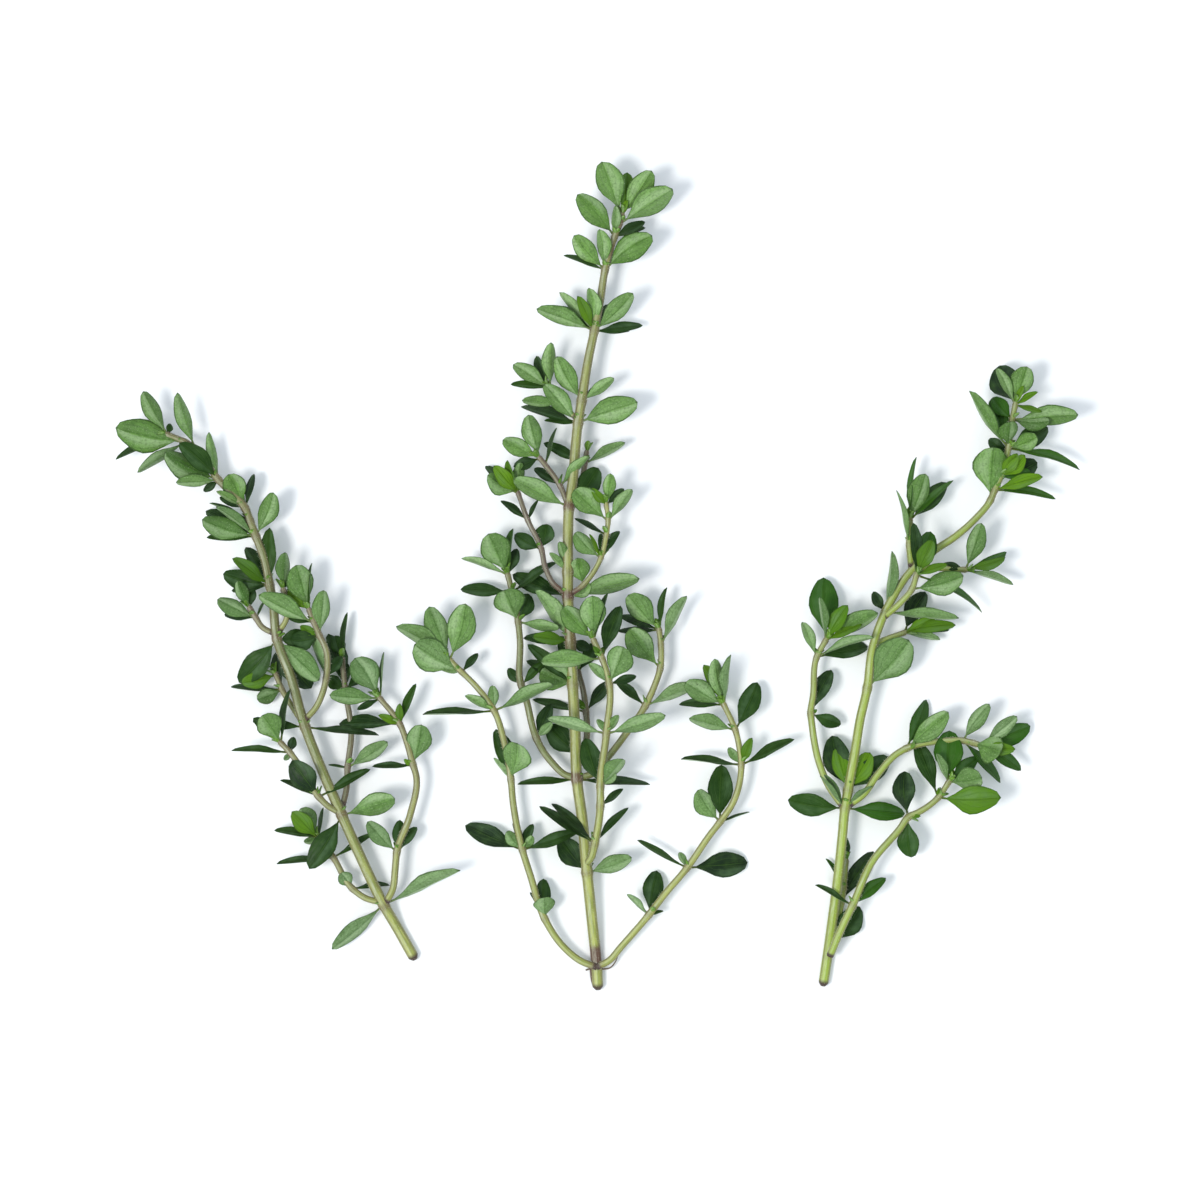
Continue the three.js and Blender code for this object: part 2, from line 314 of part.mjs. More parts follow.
/** A closed solid through rings of equal count, whose last ring may be a single point. */
function loft(rings) {
  const corners = rings.flat();
  const count = rings[0].length;
  const faces = [];
  for (let side = 1; side < count - 1; side += 1) faces.push(0, side + 1, side);
  for (let ring = 0; ring < rings.length - 1; ring += 1) {
    const from = ring * count;
    const onto = from + count;
    for (let side = 0; side < count; side += 1) {
      const next = (side + 1) % count;
      if (rings[ring + 1].length === 1) {
        faces.push(from + side, from + next, onto);
      } else {
        faces.push(from + side, from + next, onto + next, from + side, onto + next, onto + side);
      }
    }
  }
  if (rings.at(-1).length > 1) {
    const last = corners.length - count;
    for (let side = 1; side < count - 1; side += 1) faces.push(last, last + side, last + side + 1);
  }
  const geometry = new THREE.BufferGeometry().setFromPoints(corners);
  geometry.setIndex(faces);
  return geometry;
}

/** The solid of a closed geometry, for joining and cutting. */
function toSolid(geometry) {
  const merged = mergeVertices(geometry);
  return new wasm.Manifold(new wasm.Mesh({
    numProp: 3,
    vertProperties: new Float32Array(merged.attributes.position.array),
    triVerts: new Uint32Array(merged.index.array),
  }));
}

/** The geometry of a solid. */
function toGeometry(solid) {
  const mesh = solid.getMesh();
  const geometry = new THREE.BufferGeometry();
  geometry.setAttribute('position', new THREE.BufferAttribute(new Float32Array(mesh.vertProperties), 3));
  geometry.setIndex(new THREE.BufferAttribute(new Uint32Array(mesh.triVerts), 1));
  geometry.computeVertexNormals();
  return geometry;
}

/** The largest piece of a solid: loose scraps are dropped, and sealed hollows are filled. */
function largestPiece(solid) {
  return solid.decompose().reduce((best, piece) => (piece.volume() > best.volume() ? piece : best));
}

/** A solid in one piece without detail finer than a size. */
const tidied = (solid, finest) => largestPiece(largestPiece(solid).asOriginal().simplify(finest));

/** The direction of a shoot at one of its points. */
function directionAt(points, index) {
  const before = points[Math.max(index - 1, 0)].at;
  const after = points[Math.min(index + 1, points.length - 1)].at;
  return after.clone().sub(before).normalize();
}

/** A tapered stem through the points of a shoot, grown by a margin where it is only used to cut. */
function stemGeometry({ points, baseRadius, tipRadius }, margin = 0) {
  const rings = points.map(({ at }, index) => {
    const along = directionAt(points, index);
    const across = new THREE.Vector3().crossVectors(along, UP).normalize();
    const over = new THREE.Vector3().crossVectors(across, along);
    const radius = margin + THREE.MathUtils.lerp(baseRadius, tipRadius, index / (points.length - 1));
    return Array.from({ length: STEM_SIDES }, (_, side) => {
      const angle = (side + 0.5) * 2 * Math.PI / STEM_SIDES;
      return at.clone().addScaledVector(over, radius * Math.cos(angle))
        .addScaledVector(across, radius * Math.sin(angle));
    });
  });
  const last = points.length - 1;
  rings.push([points[last].at.clone().addScaledVector(directionAt(points, last), BUD_LENGTH + margin)]);
  return loft(rings);
}

/** A value between -range and range that differs evenly from one leaf number to the next. */
const evenSpread = (number, range) => range * (2 * ((number * GOLDEN) % 1) - 1);

/** The width of a leaf for each mm of length: one that looks narrower than its stance is so in part by its turn. */
function fullWidth({ stance, wide }) {
  const { slimness } = STANCES[stance];
  return wide < slimness ? THREE.MathUtils.lerp(wide, slimness, TURNED_SHARE) : wide;
}

/** Where the upper face of a leaf looks: up or down by its stance, and up the shoot as far as it looks narrow. */
function facingOf(leaf, outwards, along) {
  const off = UP.clone().addScaledVector(outwards, -outwards.z).normalize();
  const side = new THREE.Vector3().crossVectors(outwards, off);
  const seen = Math.min(1, leaf.wide / fullWidth(leaf));
  return off.multiplyScalar(seen * STANCES[leaf.stance].faces)
    .addScaledVector(side, Math.sqrt(1 - seen * seen) * (side.dot(along) < 0 ? -1 : 1));
}

/** A folded, arched blade from its node to its tip, grown by a margin where it is only used to cut. */
function leafGeometry(leaf, node, along, number, margin = 0) {
  const stance = STANCES[leaf.stance];
  const reach = Math.hypot(leaf.across, leaf.along);
  const tip = node.clone().add(new THREE.Vector3(leaf.across, leaf.along, leaf.up ?? stance.rise * reach));
  if (leaf.up === undefined) tip.z = Math.max(tip.z, LOWEST_TIP);
  const length = tip.distanceTo(node) + margin;
  const outwards = tip.sub(node).normalize();
  const facing = facingOf(leaf, outwards, along);
  facing.applyAxisAngle(outwards, evenSpread(number, ROLL_SPREAD));
  const sideways = new THREE.Vector3().crossVectors(outwards, facing);
  const halfWidth = 0.5 * length * fullWidth(leaf) * (1 + evenSpread(number + 0.5, WIDTH_SPREAD));

  const outline = length < YOUNG_LENGTH ? YOUNG_OUTLINE : GROWN_OUTLINE;
  const rings = outline.map(([share, widthShare, thicknessShare]) => {
    const middle = node.clone().addScaledVector(outwards, share === 0 ? -ROOT_DEPTH : share * length)
      .addScaledVector(facing, ARCH * length * Math.sin(Math.PI * share));
    const half = Math.max(widthShare * halfWidth, PETIOLE_HALF_WIDTH) + margin;
    const thick = 0.5 * thicknessShare * BLADE_THICKNESS + margin;
    const lift = FOLD * half;
    return [
      middle.clone().addScaledVector(facing, thick),
      middle.clone().addScaledVector(sideways, half).addScaledVector(facing, lift),
      middle.clone().addScaledVector(facing, -thick),
      middle.clone().addScaledVector(sideways, -half).addScaledVector(facing, lift),
    ];
  });
  rings.push([node.clone().addScaledVector(outwards, length)]);
  return loft(rings);
}

/** Whether two solids' boxes meet. */
function near(a, b) {
  const [boxA, boxB] = [a.boundingBox(), b.boundingBox()];
  return [0, 1, 2].every((axis) => boxA.min[axis] < boxB.max[axis] && boxB.min[axis] < boxA.max[axis]);
}

/** A solid without what the near ones of the others take away from it. */
const cutBy = (solid, others) => others.filter((other) => near(solid, other))
  .reduce((rest, other) => rest.subtract(other), solid);

/** The part of a cut leaf that still grows from its stem, or null where the cut took its root. */
function rootedPiece(leaf, stem) {
  return leaf.decompose().find((piece) => piece.volume() > 0 && piece.intersect(stem).volume() > ROOT_HOLD) ?? null;
}

/** Grows every shoot of the plan: its stem first, then its leaves, clear of the shoots that are already there. */
function growBundle() {
  const grown = SHOOTS.map((plan) => ({
    plan,
    stem: toSolid(stemGeometry(plan)),
    stemWithAir: toSolid(stemGeometry(plan, CLEARANCE)),
    leavesWithAir: [],
  }));
  grown.forEach((one, order) => {
    one.stem = largestPiece(cutBy(one.stem, grown.slice(0, order).map((other) => other.stemWithAir)));
  });
  let number = 0;
  grown.forEach((one, order) => {
    const { points } = one.plan;
    const others = grown.filter((other) => other !== one).map((other) => other.stemWithAir);
    const earlierLeaves = grown.slice(0, order).flatMap((other) => other.leavesWithAir);
    const parts = [one.stem];
    points.forEach(({ at, leaves }, index) => {
      const along = directionAt(points, index);
      for (const leaf of leaves) {
        number += 1;
        const whole = toSolid(leafGeometry(leaf, at, along, number));
        const rooted = rootedPiece(cutBy(cutBy(whole, others), earlierLeaves), one.stem);
        if (rooted !== null) {
          parts.push(rooted);
          one.leavesWithAir.push(toSolid(leafGeometry(leaf, at, along, number, CLEARANCE)));
        }
      }
    });
    const whole = tidied(wasm.Manifold.union(parts), SMALLEST_DETAIL);
    one.solid = tidied(whole.trimByPlane(UP.toArray(), 0), SMALLEST_EDGE);
  });
  return grown;
}

// ---- The bundle ------------------------------------------------------------------------------------------------

const COLOURS = { middle: 0x5f8f4c, left: 0x55834a, right: 0x4d8640 };

const bundle = new THREE.Group();
for (const { plan, solid } of growBundle()) {
  const material = new THREE.MeshStandardMaterial({
    color: COLOURS[plan.name.split('_')[0]],
    roughness: 0.62,
    metalness: 0,
  });
  const mesh = new THREE.Mesh(toGeometry(solid), material);
  mesh.name = plan.name;
  bundle.add(mesh);
}
bundle.position.copy(PLAN_CENTRE).negate();

export default bundle;
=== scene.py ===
"""Three cut sprigs of thyme lying in a fan, grown shoot by shoot around the packed model."""

from __future__ import annotations

import logging
import math
from collections.abc import Callable, Iterator, Mapping, Sequence
from dataclasses import dataclass, field
from enum import Enum
from functools import partial

import bpy
import numpy as np
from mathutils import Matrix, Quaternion, Vector


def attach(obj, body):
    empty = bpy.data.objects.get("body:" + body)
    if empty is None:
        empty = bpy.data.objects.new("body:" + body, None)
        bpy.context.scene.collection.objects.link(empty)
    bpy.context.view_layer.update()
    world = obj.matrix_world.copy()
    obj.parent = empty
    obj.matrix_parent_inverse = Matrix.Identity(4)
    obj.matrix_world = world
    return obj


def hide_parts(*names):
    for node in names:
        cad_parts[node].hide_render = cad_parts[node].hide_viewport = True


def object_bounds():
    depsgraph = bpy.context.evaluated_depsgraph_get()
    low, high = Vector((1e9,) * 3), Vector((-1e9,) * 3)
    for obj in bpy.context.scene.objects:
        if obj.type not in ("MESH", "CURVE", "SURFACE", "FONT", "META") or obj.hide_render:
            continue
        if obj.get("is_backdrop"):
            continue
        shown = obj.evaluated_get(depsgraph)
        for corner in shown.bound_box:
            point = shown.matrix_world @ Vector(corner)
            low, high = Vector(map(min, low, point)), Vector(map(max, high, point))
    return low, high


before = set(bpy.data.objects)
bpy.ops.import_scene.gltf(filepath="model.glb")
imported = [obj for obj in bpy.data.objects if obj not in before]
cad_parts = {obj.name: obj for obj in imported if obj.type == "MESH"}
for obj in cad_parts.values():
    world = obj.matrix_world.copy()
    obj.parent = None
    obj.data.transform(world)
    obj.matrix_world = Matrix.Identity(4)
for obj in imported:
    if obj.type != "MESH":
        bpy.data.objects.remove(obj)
CAD_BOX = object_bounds()

LOG = logging.getLogger("thyme")
MM = 0.001
UP = Vector((0, 0, 1))
GOLDEN = 0.61803            # step of the even spread that sets one leaf off from the next
PLAN_CENTRE = Vector((0.4, 0.127, 0))       # the middle of the bundle's box in the growth plan

Colour = tuple[float, float, float, float]


def srgb(red: int, green: int, blue: int) -> Colour:
    """Turns a colour's 0 to 255 screen values into the linear values that shaders use.

    Args:
        red: Red, 0 to 255.
        green: Green, 0 to 255.
        blue: Blue, 0 to 255.

    Returns:
        The linear colour with full alpha.
    """
    def linear(level: int) -> float:
        """Linear share of one screen level."""
        share = level / 255
        return share / 12.92 if share <= 0.04045 else ((share + 0.055) / 1.055) ** 2.4

    return linear(red), linear(green), linear(blue), 1.0


def even_spread(number: float, reach: float) -> float:
    """Gives a value between -reach and reach that differs evenly from one number to the next."""
    return reach * (2 * ((number * GOLDEN) % 1) - 1)


def clamped(value: float) -> float:
    """Keeps a share between 0 and 1."""
    return min(1.0, max(0.0, value))


def placed(name: str, data: bpy.types.ID) -> bpy.types.Object:
    """Puts data into the scene as an object.

    Args:
        name: The object's name.
        data: Its mesh, lamp or camera.

    Returns:
        The object, at the origin.
    """
    holder = bpy.data.objects.new(name, data)
    bpy.context.scene.collection.objects.link(holder)
    return holder


def square_part(direction: Vector, axis: Vector) -> Vector:
    """Gives the part of a direction that stands square to an axis."""
    return direction - axis * direction.dot(axis)


# ---- The growth plan, in millimetres ----


@dataclass(frozen=True)
class Habit:
    """How the leaves of one kind stand and how they are shaped."""

    rise: float             # height of the tip for each mm that it reaches out
    upwards: float          # 1 where the upper face looks up off the surface, -1 where the under side does
    slimness: float         # width for each mm of length
    belly: float            # above 1 the widest place moves towards the tip
    fold: float             # how far the halves fold up along the midrib
    curl: float             # how far the tip bends back, for each mm of length
    youth: float            # 0 for a grown leaf, 1 for a leaf just opened


class Stance(Enum):
    """The kinds of leaf by how they lie to the eye."""

    PALE = Habit(0.32, -1, 0.44, 0.98, 0.42, -0.06, 0.0)
    BROAD = Habit(0.3, -1, 0.60, 1.10, 0.26, -0.06, 0.0)
    FRONT = Habit(0.65, -1, 0.60, 1.12, 0.24, -0.07, 0.05)
    DARK = Habit(-0.22, 1, 0.45, 1.0, 0.26, -0.06, 0.0)
    EDGE = Habit(0.02, 1, 0.34, 0.95, 0.5, -0.08, 0.05)
    FRESH = Habit(0.3, 1, 0.42, 1.0, 0.4, -0.04, 0.75)
    BUD = Habit(0.3, 1, 0.40, 1.0, 0.5, 0.03, 0.8)


@dataclass(frozen=True)
class Leaf:
    """A leaf by where its tip lies from its node.

    Its width for each mm of length is as seen from above: a narrow one is also turned on its side.
    """

    stance: Stance
    across: float
    along: float
    wide: float
    up: float | None = None         # height of the tip above the node, None for its habit's rise
    bow: float = -0.05              # how far it bows towards the shoot's tip, as a share of its length

    @property
    def reach(self) -> float:
        """How far the tip reaches from the node, seen from above."""
        return math.hypot(self.across, self.along)


@dataclass(frozen=True)
class Joint:
    """A place on a stem with the leaves that grow there."""

    place: Vector
    leaves: tuple[Leaf, ...]


@dataclass(frozen=True)
class ShootPlan:
    """A leafy stem: its name, its half thickness at both ends and its joints from the base to the tip."""

    name: str
    base_radius: float
    tip_radius: float
    joints: tuple[Joint, ...]

    def direction(self, index: int) -> Vector:
        """Gives the stem's direction at one of its joints."""
        after = self.joints[min(index + 1, len(self.joints) - 1)].place
        return (after - self.joints[max(index - 1, 0)].place).normalized()


@dataclass(frozen=True)
class Mark:
    """A run of brown bark on a stem, by its middle and half its length in plan height."""

    height: float
    reach: float
    strength: float = 1.0


@dataclass(frozen=True)
class StemLook:
    """How one stem tapers and colours."""

    browning: tuple[float, float]       # at the base and at the tip
    taper_late: float = 3.2
    depth: tuple[float, float, float] = (0.2, 0.2, 0.2)     # of the green: base, half way, tip
    marks: tuple[Mark, ...] = ()


@dataclass(frozen=True)
class Fibre:
    """A thin withered strand that hangs on a stem."""

    radius: float
    places: tuple[tuple[float, float, float], ...]
    spacing: float = 0.2
    taper: float = 0.5
    sides: int = 6


def at(x: float, y: float, z: float, *leaves: Leaf) -> Joint:
    """Writes a joint into the plan."""
    return Joint(Vector((x, y, z)) - PLAN_CENTRE, leaves)


def shoot(name: str, base_radius: float, tip_radius: float, *joints: Joint) -> ShootPlan:
    """Writes a leafy stem into the plan."""
    return ShootPlan(name, base_radius, tip_radius, joints)


pale, broad, front, dark, edge, fresh, _ = (partial(Leaf, stance) for stance in Stance)

SHOOTS: tuple[ShootPlan, ...] = (
    shoot("middle_main_stem", 0.85, 0.42, at(0.4, -68.8, 0.5), at(0.2, -65.2, 0.6), at(-0.6, -57.2, 2.2),
        at(-1.4, -49.3, 3.2, dark(-4.7, 5.8, 0.53), pale(7.5, 2.8, 0.36)), at(-2.2, -40.5, 4),
        at(-3.1, -33.7, 4.3, edge(-9.9, -0.6, 0.15), edge(12.2, -0.3, 0.13)), at(-3.4, -25.5, 4.5),
        at(-3.8, -18, 4.6, edge(-7.3, 7, 0.2), dark(-7.7, 4.2, 0.3), pale(-5.6, 2.2, 0.7, 1.6),
           broad(-1.6, 5.2, 0.9, 1.6)),
        at(-4.2, -10.5, 4.6, dark(3.4, -1.4, 0.5, -1), pale(-5.7, 8.5, 0.34, 2), dark(-7.9, 0.6, 0.3),
           fresh(-6.2, 0.6, 0.35)),
        at(-4.6, -3.3, 4.6, dark(-9.3, 3.9, 0.28), pale(11.9, 3.6, 0.25), pale(3.9, 2.1, 0.5)),
        at(-4.6, 0.8, 4.6, pale(-1.3, 5.2, 0.3), pale(-3, 3.3, 0.25)), at(-4.6, 6.2, 4.6),
        at(-4.4, 11.7, 4.7, pale(-9.2, 5, 0.36), dark(5, 6.6, 0.5, -2)), at(-3.9, 15.3, 4.7),
        at(-2.9, 25.7, 4.8, pale(10, 3.4, 0.42, bow=0.01), dark(-9.5, 3.2, 0.28), edge(-5.6, 0.6, 0.2),
           pale(-5.6, 6.5, 0.4, 2.6)),
        at(-2.3, 29.4, 4.9, pale(-4.2, 7.3, 0.42), pale(5.3, 3.9, 0.26, bow=-0.1), dark(3.6, 3, 0.24)),
        at(-1.2, 36.2, 4.9),
        at(-0.2, 41, 4.9, pale(-9.6, 3.7, 0.25, bow=0), pale(6.4, 6.4, 0.34, bow=-0.09),
           dark(8.1, 1.3, 0.2), dark(5.9, 0.2, 0.25), pale(-5.7, 6.5, 0.2, 0.2), dark(-5.8, 4.4, 0.33),
           fresh(-2.7, 5.7, 0.3), pale(-0.8, 7.1, 0.4), dark(0.3, 6, 0.25), dark(2.3, 4.8, 0.3, -3)),
        at(0.8, 46.2, 5),
        at(1.6, 51.2, 5, edge(-6.8, 2.6, 0.2), pale(-5.2, 5.6, 0.42), pale(-0.8, 6.7, 0.4),
           pale(7.9, 5.6, 0.48, bow=0.07), dark(0.9, 5, 0.35, -5.3)),
        at(3.2, 56.7, 5, pale(-6.4, 6.9, 0.42, bow=0.04), edge(5, 2.6, 0.3), dark(5.1, 1.7, 0.3),
           pale(0.2, 5.1, 0.32)), at(4, 58.8, 5.1, broad(8.8, 5.9, 0.45)),
        at(4.4, 60.3, 5.2, broad(-3.2, 8.8, 0.52), pale(5, 7.2, 0.45), fresh(0.9, 2.4, 0.4),
           fresh(1, 7.2, 0.4, -1))),
    shoot("middle_low_left_shoot", 0.55, 0.42, at(0.2, -65.2, 1.6), at(-2.4, -64.2, 1.9),
        at(-5.5, -61.6, 2.3),
        at(-8.5, -57, 3, front(-0.1, 3.8, 0.95), dark(-0.3, 6.6, 0.42), dark(-2.3, 4.4, 0.25)),
        at(-10.9, -49.7, 3.4),
        at(-12.2, -45.5, 3.6, dark(-9.6, 4.2, 0.3), edge(9.3, 3.2, 0.2), pale(-2.7, 3.2, 0.5),
           pale(1.8, 2.4, 0.5), dark(-1.5, 4.5, 0.3), dark(1.7, 4.3, 0.34)), at(-13.8, -37.2, 3.9),
        at(-14.1, -33.8, 4, front(1.2, 6.5, 0.8), dark(-2.4, 8.5, 0.36), pale(-2.8, 3.7, 0.2, 0.1)),
        at(-15.1, -28, 4.2),
        at(-16.9, -22.3, 4.4, edge(-11.9, -0.1, 0.13), pale(9.9, 4.9, 0.2), pale(-4.8, 2.7, 0.34),
           pale(-0.3, 4.3, 0.44)), at(-20.1, -18, 4.6),
        at(-22.3, -15.8, 4.8, dark(2.6, 3.2, 0.3), pale(-3.5, 0.5, 0.4, -1), broad(-7.9, 4.6, 0.6, 3.6)),
        at(-24.3, -13.8, 5, pale(-8.7, 6, 0.34, 2.2), pale(-3.6, 8.9, 0.42, 2.4), pale(2.8, 9.5, 0.48))),
    shoot("middle_low_right_shoot", 0.55, 0.42, at(0.2, -65.2, 1.6), at(2.3, -64.1, 1.9), at(4.1, -62, 2.3),
        at(8.9, -56.4, 3, pale(-3.6, 3.6, 0.25), dark(1.4, 7.4, 0.48), edge(2.4, 0.7, 0.25)),
        at(11.6, -52.9, 3.2),
        at(15.3, -48.5, 3.5, edge(-8.2, 4.8, 0.12), dark(10.3, 1, 0.38), pale(-1.3, 2.7, 0.4)),
        at(19.1, -43, 3.8),
        at(20.8, -40.8, 4, pale(-3.9, 5.4, 0.55), dark(0.3, 9.5, 0.43), edge(4.8, 1.8, 0.12)),
        at(22.9, -37.7, 4.2),
        at(24.3, -31.3, 4.4, edge(-10, 1.3, 0.14), edge(8.7, 4.5, 0.17), pale(-2.2, 3, 0.38),
           fresh(1.7, 4.5, 0.36)), at(23.9, -28, 4.6),
        at(23.3, -25.5, 4.8, pale(-7.8, 2.2, 0.38), dark(3.7, 8, 0.4)),
        at(21.4, -21.3, 5, dark(-7.5, 0.3, 0.2), pale(-6.6, 3.9, 0.5), fresh(-3.3, 6.7, 0.3, -1),
           pale(-1.9, 7.8, 0.3), pale(0.8, 8.5, 0.27))),
    shoot("middle_front_shoot", 0.6, 0.42, at(-1.4, -47.8, 3.4), at(-0.6, -46.4, 5.4),
        at(-0.1, -44.3, 6.6, dark(-7.1, 6.7, 0.18), dark(-9.2, 6.2, 0.12, -3), dark(5.4, 6.1, 0.16)),
        at(0.8, -38, 8.2, edge(3.7, 2.9, 0.28)),
        at(0.8, -34.7, 8.6, front(3.7, 4.8, 0.55), pale(2.6, 2.3, 0.5), dark(-2.5, 8, 0.42)),
        at(1.8, -26, 9.2, pale(-9.8, 2.9, 0.2), pale(9.8, 3.3, 0.24), pale(-1.5, 2.5, 0.4),
           pale(2, 3.2, 0.4)),
        at(2.3, -17.7, 9.6, front(2.4, 6.3, 0.68), dark(4.5, 1.4, 0.3), pale(-3.4, 3.5, 0.35)),
        at(1.1, -13.5, 9.8, pale(-10.2, -0.3, 0.3), fresh(-1.5, 2, 0.4), dark(2.8, 8.9, 0.32)),
        at(-0.3, -10.5, 10, broad(-0.3, 7.5, 0.62), pale(-5.2, 5.5, 0.48), edge(2, 7.9, 0.12))),
    shoot("middle_back_shoot", 0.5, 0.4, at(-3.4, -32.6, 3), at(-2.2, -30, 1.8, dark(-5.9, 5.2, 0.55)),
        at(-1.4, -26.3, 1.5),
        at(-1.6, -22.5, 1.5, dark(-8.9, 2.2, 0.16), dark(4.1, 5.2, 0.36), fresh(-1.4, 2.2, 0.45)),
        at(-2.1, -18.8, 1.5), at(-2.9, -15.8, 1.5, dark(-3, 6, 0.4), dark(3, 5, 0.4))),
    shoot("middle_left_second_shoot", 0.55, 0.42, at(-3.3, -33.5, 4.3), at(-5, -33, 4.1),
        at(-7.3, -30.9, 3.8), at(-9.3, -28.1, 3.6),
        at(-9.9, -26.8, 3.5, pale(2.7, 2.7, 0.4), dark(2.4, 5.7, 0.42)), at(-11.8, -19.7, 3.5),
        at(-12.4, -18, 3.5, dark(-2.2, 2.8, 0.5), edge(4.2, 4.1, 0.28)), at(-12.6, -10.5, 3.8),
        at(-12.9, -7.5, 3.9, front(-2.3, 5.6, 0.9), dark(1.7, 4.8, 0.6), pale(7, -0.9, 0.25)),
        at(-13.9, -2.5, 4, dark(-8.7, 0.8, 0.28), edge(7.2, 5.2, 0.2)),
        at(-14.6, 0.3, 4.2, broad(-3.2, 7, 0.68), pale(-7.7, 2.9, 0.14, 0.2, bow=0), edge(0.5, 7.8, 0.2),
           dark(1.5, 4.5, 0.4))),
    shoot("middle_right_second_shoot", 0.55, 0.42, at(-2.9, -33.5, 4.2), at(-0.7, -32.9, 3.9),
        at(2.3, -29.8, 3.4), at(4.9, -26.4, 3.2),
        at(8.3, -21.5, 3.4, pale(8.7, 3.8, 0.22), dark(-4.9, 4.5, 0.25)), at(9.9, -18, 3.8),
        at(10.8, -15.2, 4.2, broad(-5.3, 6.7, 0.52)), at(10.9, -11.3, 4.4, pale(4.1, 8.3, 0.22)),
        at(10.6, -8.8, 4.6, pale(-5.2, 5.9, 0.55), edge(1, 7.1, 0.16), dark(-6.5, 2.5, 0.25),
           dark(-6.9, -0.1, 0.25))),
    shoot("middle_left_third_shoot", 0.43, 0.37, at(-4.8, -2.9, 4.6), at(-7.1, -1, 5), at(-8.4, 1.7, 5),
        at(-9, 4.6, 4.8, dark(-4.6, 2.5, 0.5), dark(0.9, 4.3, 0.8)),
        at(-11.3, 9.5, 4.5, edge(1.7, 3.4, 0.2), dark(-4.5, 3.3, 0.25)),
        at(-12.9, 14, 4.4, pale(-5.2, 2.9, 0.62), fresh(-4, 4.5, 0.42), fresh(-1.8, 5.4, 0.3),
           pale(0.3, 5.2, 0.4), dark(-5.5, 4.8, 0.3, -3))),
    shoot("middle_right_third_shoot", 0.42, 0.36, at(-4.2, -2.9, 4.6),
        at(-2, -1.3, 5.4, pale(-1, 4.5, 0.78, 0.6)), at(-0.2, 1, 5.6),
        at(0.9, 3.2, 5.8, pale(-4.5, 4.2, 0.5), dark(3, 4.6, 0.33), dark(0.1, 4.1, 0.35),
           fresh(-1.9, 3.9, 0.2)), at(1.8, 7, 6, dark(-5.2, 3, 0.15)),
        at(2.1, 9.3, 6.2, pale(3.9, 5.4, 0.36), broad(-5.7, 5.3, 0.55)),
        at(1.8, 12, 6.4, pale(0.7, 5.3, 0.4), dark(2.9, 2.8, 0.35), fresh(-2.5, 2.7, 0.4))),
    shoot("middle_left_fourth_shoot", 0.42, 0.36, at(-4.7, 12.2, 4.8),
        at(-5.9, 15.2, 5.2, pale(4.7, 5, 0.3, 1.3), dark(-4.3, 3.1, 0.33)),
        at(-8.4, 18.7, 5.6, edge(1.7, 6.2, 0.16)),
        at(-9.3, 19.8, 5.8, dark(-4.4, -1.4, 0.5), pale(-6.2, 3.1, 0.43), pale(-2, 7.2, 0.47))),
    shoot("middle_right_fourth_shoot", 0.45, 0.4, at(-4.3, 12.6, 4.2), at(-3, 14.2, 2.6), at(-2, 17.4, 2.2),
        at(-1.8, 19, 2.2, pale(6.7, 3.6, 0.22, 2), dark(-6.8, 3.5, 0.2, 0.3)), at(-1.5, 20.8, 2.2)),
    shoot("middle_left_fifth_shoot", 0.42, 0.36, at(-3.2, 26.4, 4.9),
        at(-5.5, 28.8, 4.4, pale(-6.8, 0.8, 0.23)),
        at(-7.6, 31.5, 4.2, pale(-6.1, 4, 0.36), dark(-2.4, 5.4, 0.36), pale(-0.1, 7.6, 0.31),
           edge(-6.5, 0.9, 0.18))),
    shoot("left_main_stem", 0.83, 0.45, at(-30.3, -63.8, 0.5), at(-32.6, -59.7, 0.7),
        at(-35.4, -54.7, 2.4, pale(-8.8, -7.2, 0.18, 1), pale(12.9, 6.2, 0.19)), at(-39.6, -45.8, 3.5),
        at(-42.3, -39.7, 4, dark(-5.5, -8.8, 0.37, 1.2), pale(9.1, 3.1, 0.42)), at(-45.6, -32.2, 4.2),
        at(-48.4, -25, 4.4, edge(12.3, -1, 0.13), edge(-8.7, 1.3, 0.15)), at(-50.9, -16.3, 4.5),
        at(-53.1, -10.3, 4.6, dark(5.2, 0.6, 0.62, -1.5), dark(-6.6, -7.4, 0.42), dark(5.6, -8.4, 0.46),
           pale(7.6, -6.8, 0.36)), at(-53.8, -3.8, 4.7),
        at(-54.3, -1.3, 4.7, dark(-8, 1.9, 0.4), fresh(-6, 4.4, 0.36), dark(-4, 6.5, 0.33),
           dark(-6.5, -0.8, 0.3), edge(-0.2, 9.5, 0.3)), at(-55.1, 2.8, 4.7),
        at(-56.6, 6.8, 4.7, pale(3.1, 7.3, 0.42), pale(-8.9, 2.8, 0.42), dark(-8.5, 4.5, 0.3),
           edge(-8.2, 0, 0.15), pale(-6.3, 5.2, 0.22), dark(-3.3, 3.4, 0.22)),
        at(-57.6, 9.4, 4.7, edge(-6.6, 3.1, 0.13)),
        at(-58.4, 11.5, 4.7, broad(-2.7, 5.6, 0.62), dark(1.2, 5.8, 0.28), pale(-4.6, 2.9, 0.25),
           dark(-4.3, 1.9, 0.3)), at(-60.9, 14.2, 4.8),
        at(-62.8, 16.2, 4.9, pale(-9, 4.4, 0.46), pale(-7, -0.3, 0.27), dark(-2.6, -1.9, 0.4),
           pale(-1.7, 7.9, 0.22, 0.2), dark(-6.2, 6.2, 0.36, 1.8), dark(2.6, -2.4, 0.5, -5.2)),
        at(-66.8, 21.5, 5, pale(-2.8, 9.1, 0.3)),
        at(-68.4, 22.5, 5, pale(-7.9, -4.9, 0.2), pale(-11.4, 2.1, 0.5)),
        at(-71.3, 23.7, 5.2, pale(-4, 7.1, 0.32), edge(-8.7, -3.9, 0.15), dark(0.4, 1.9, 0.6))),
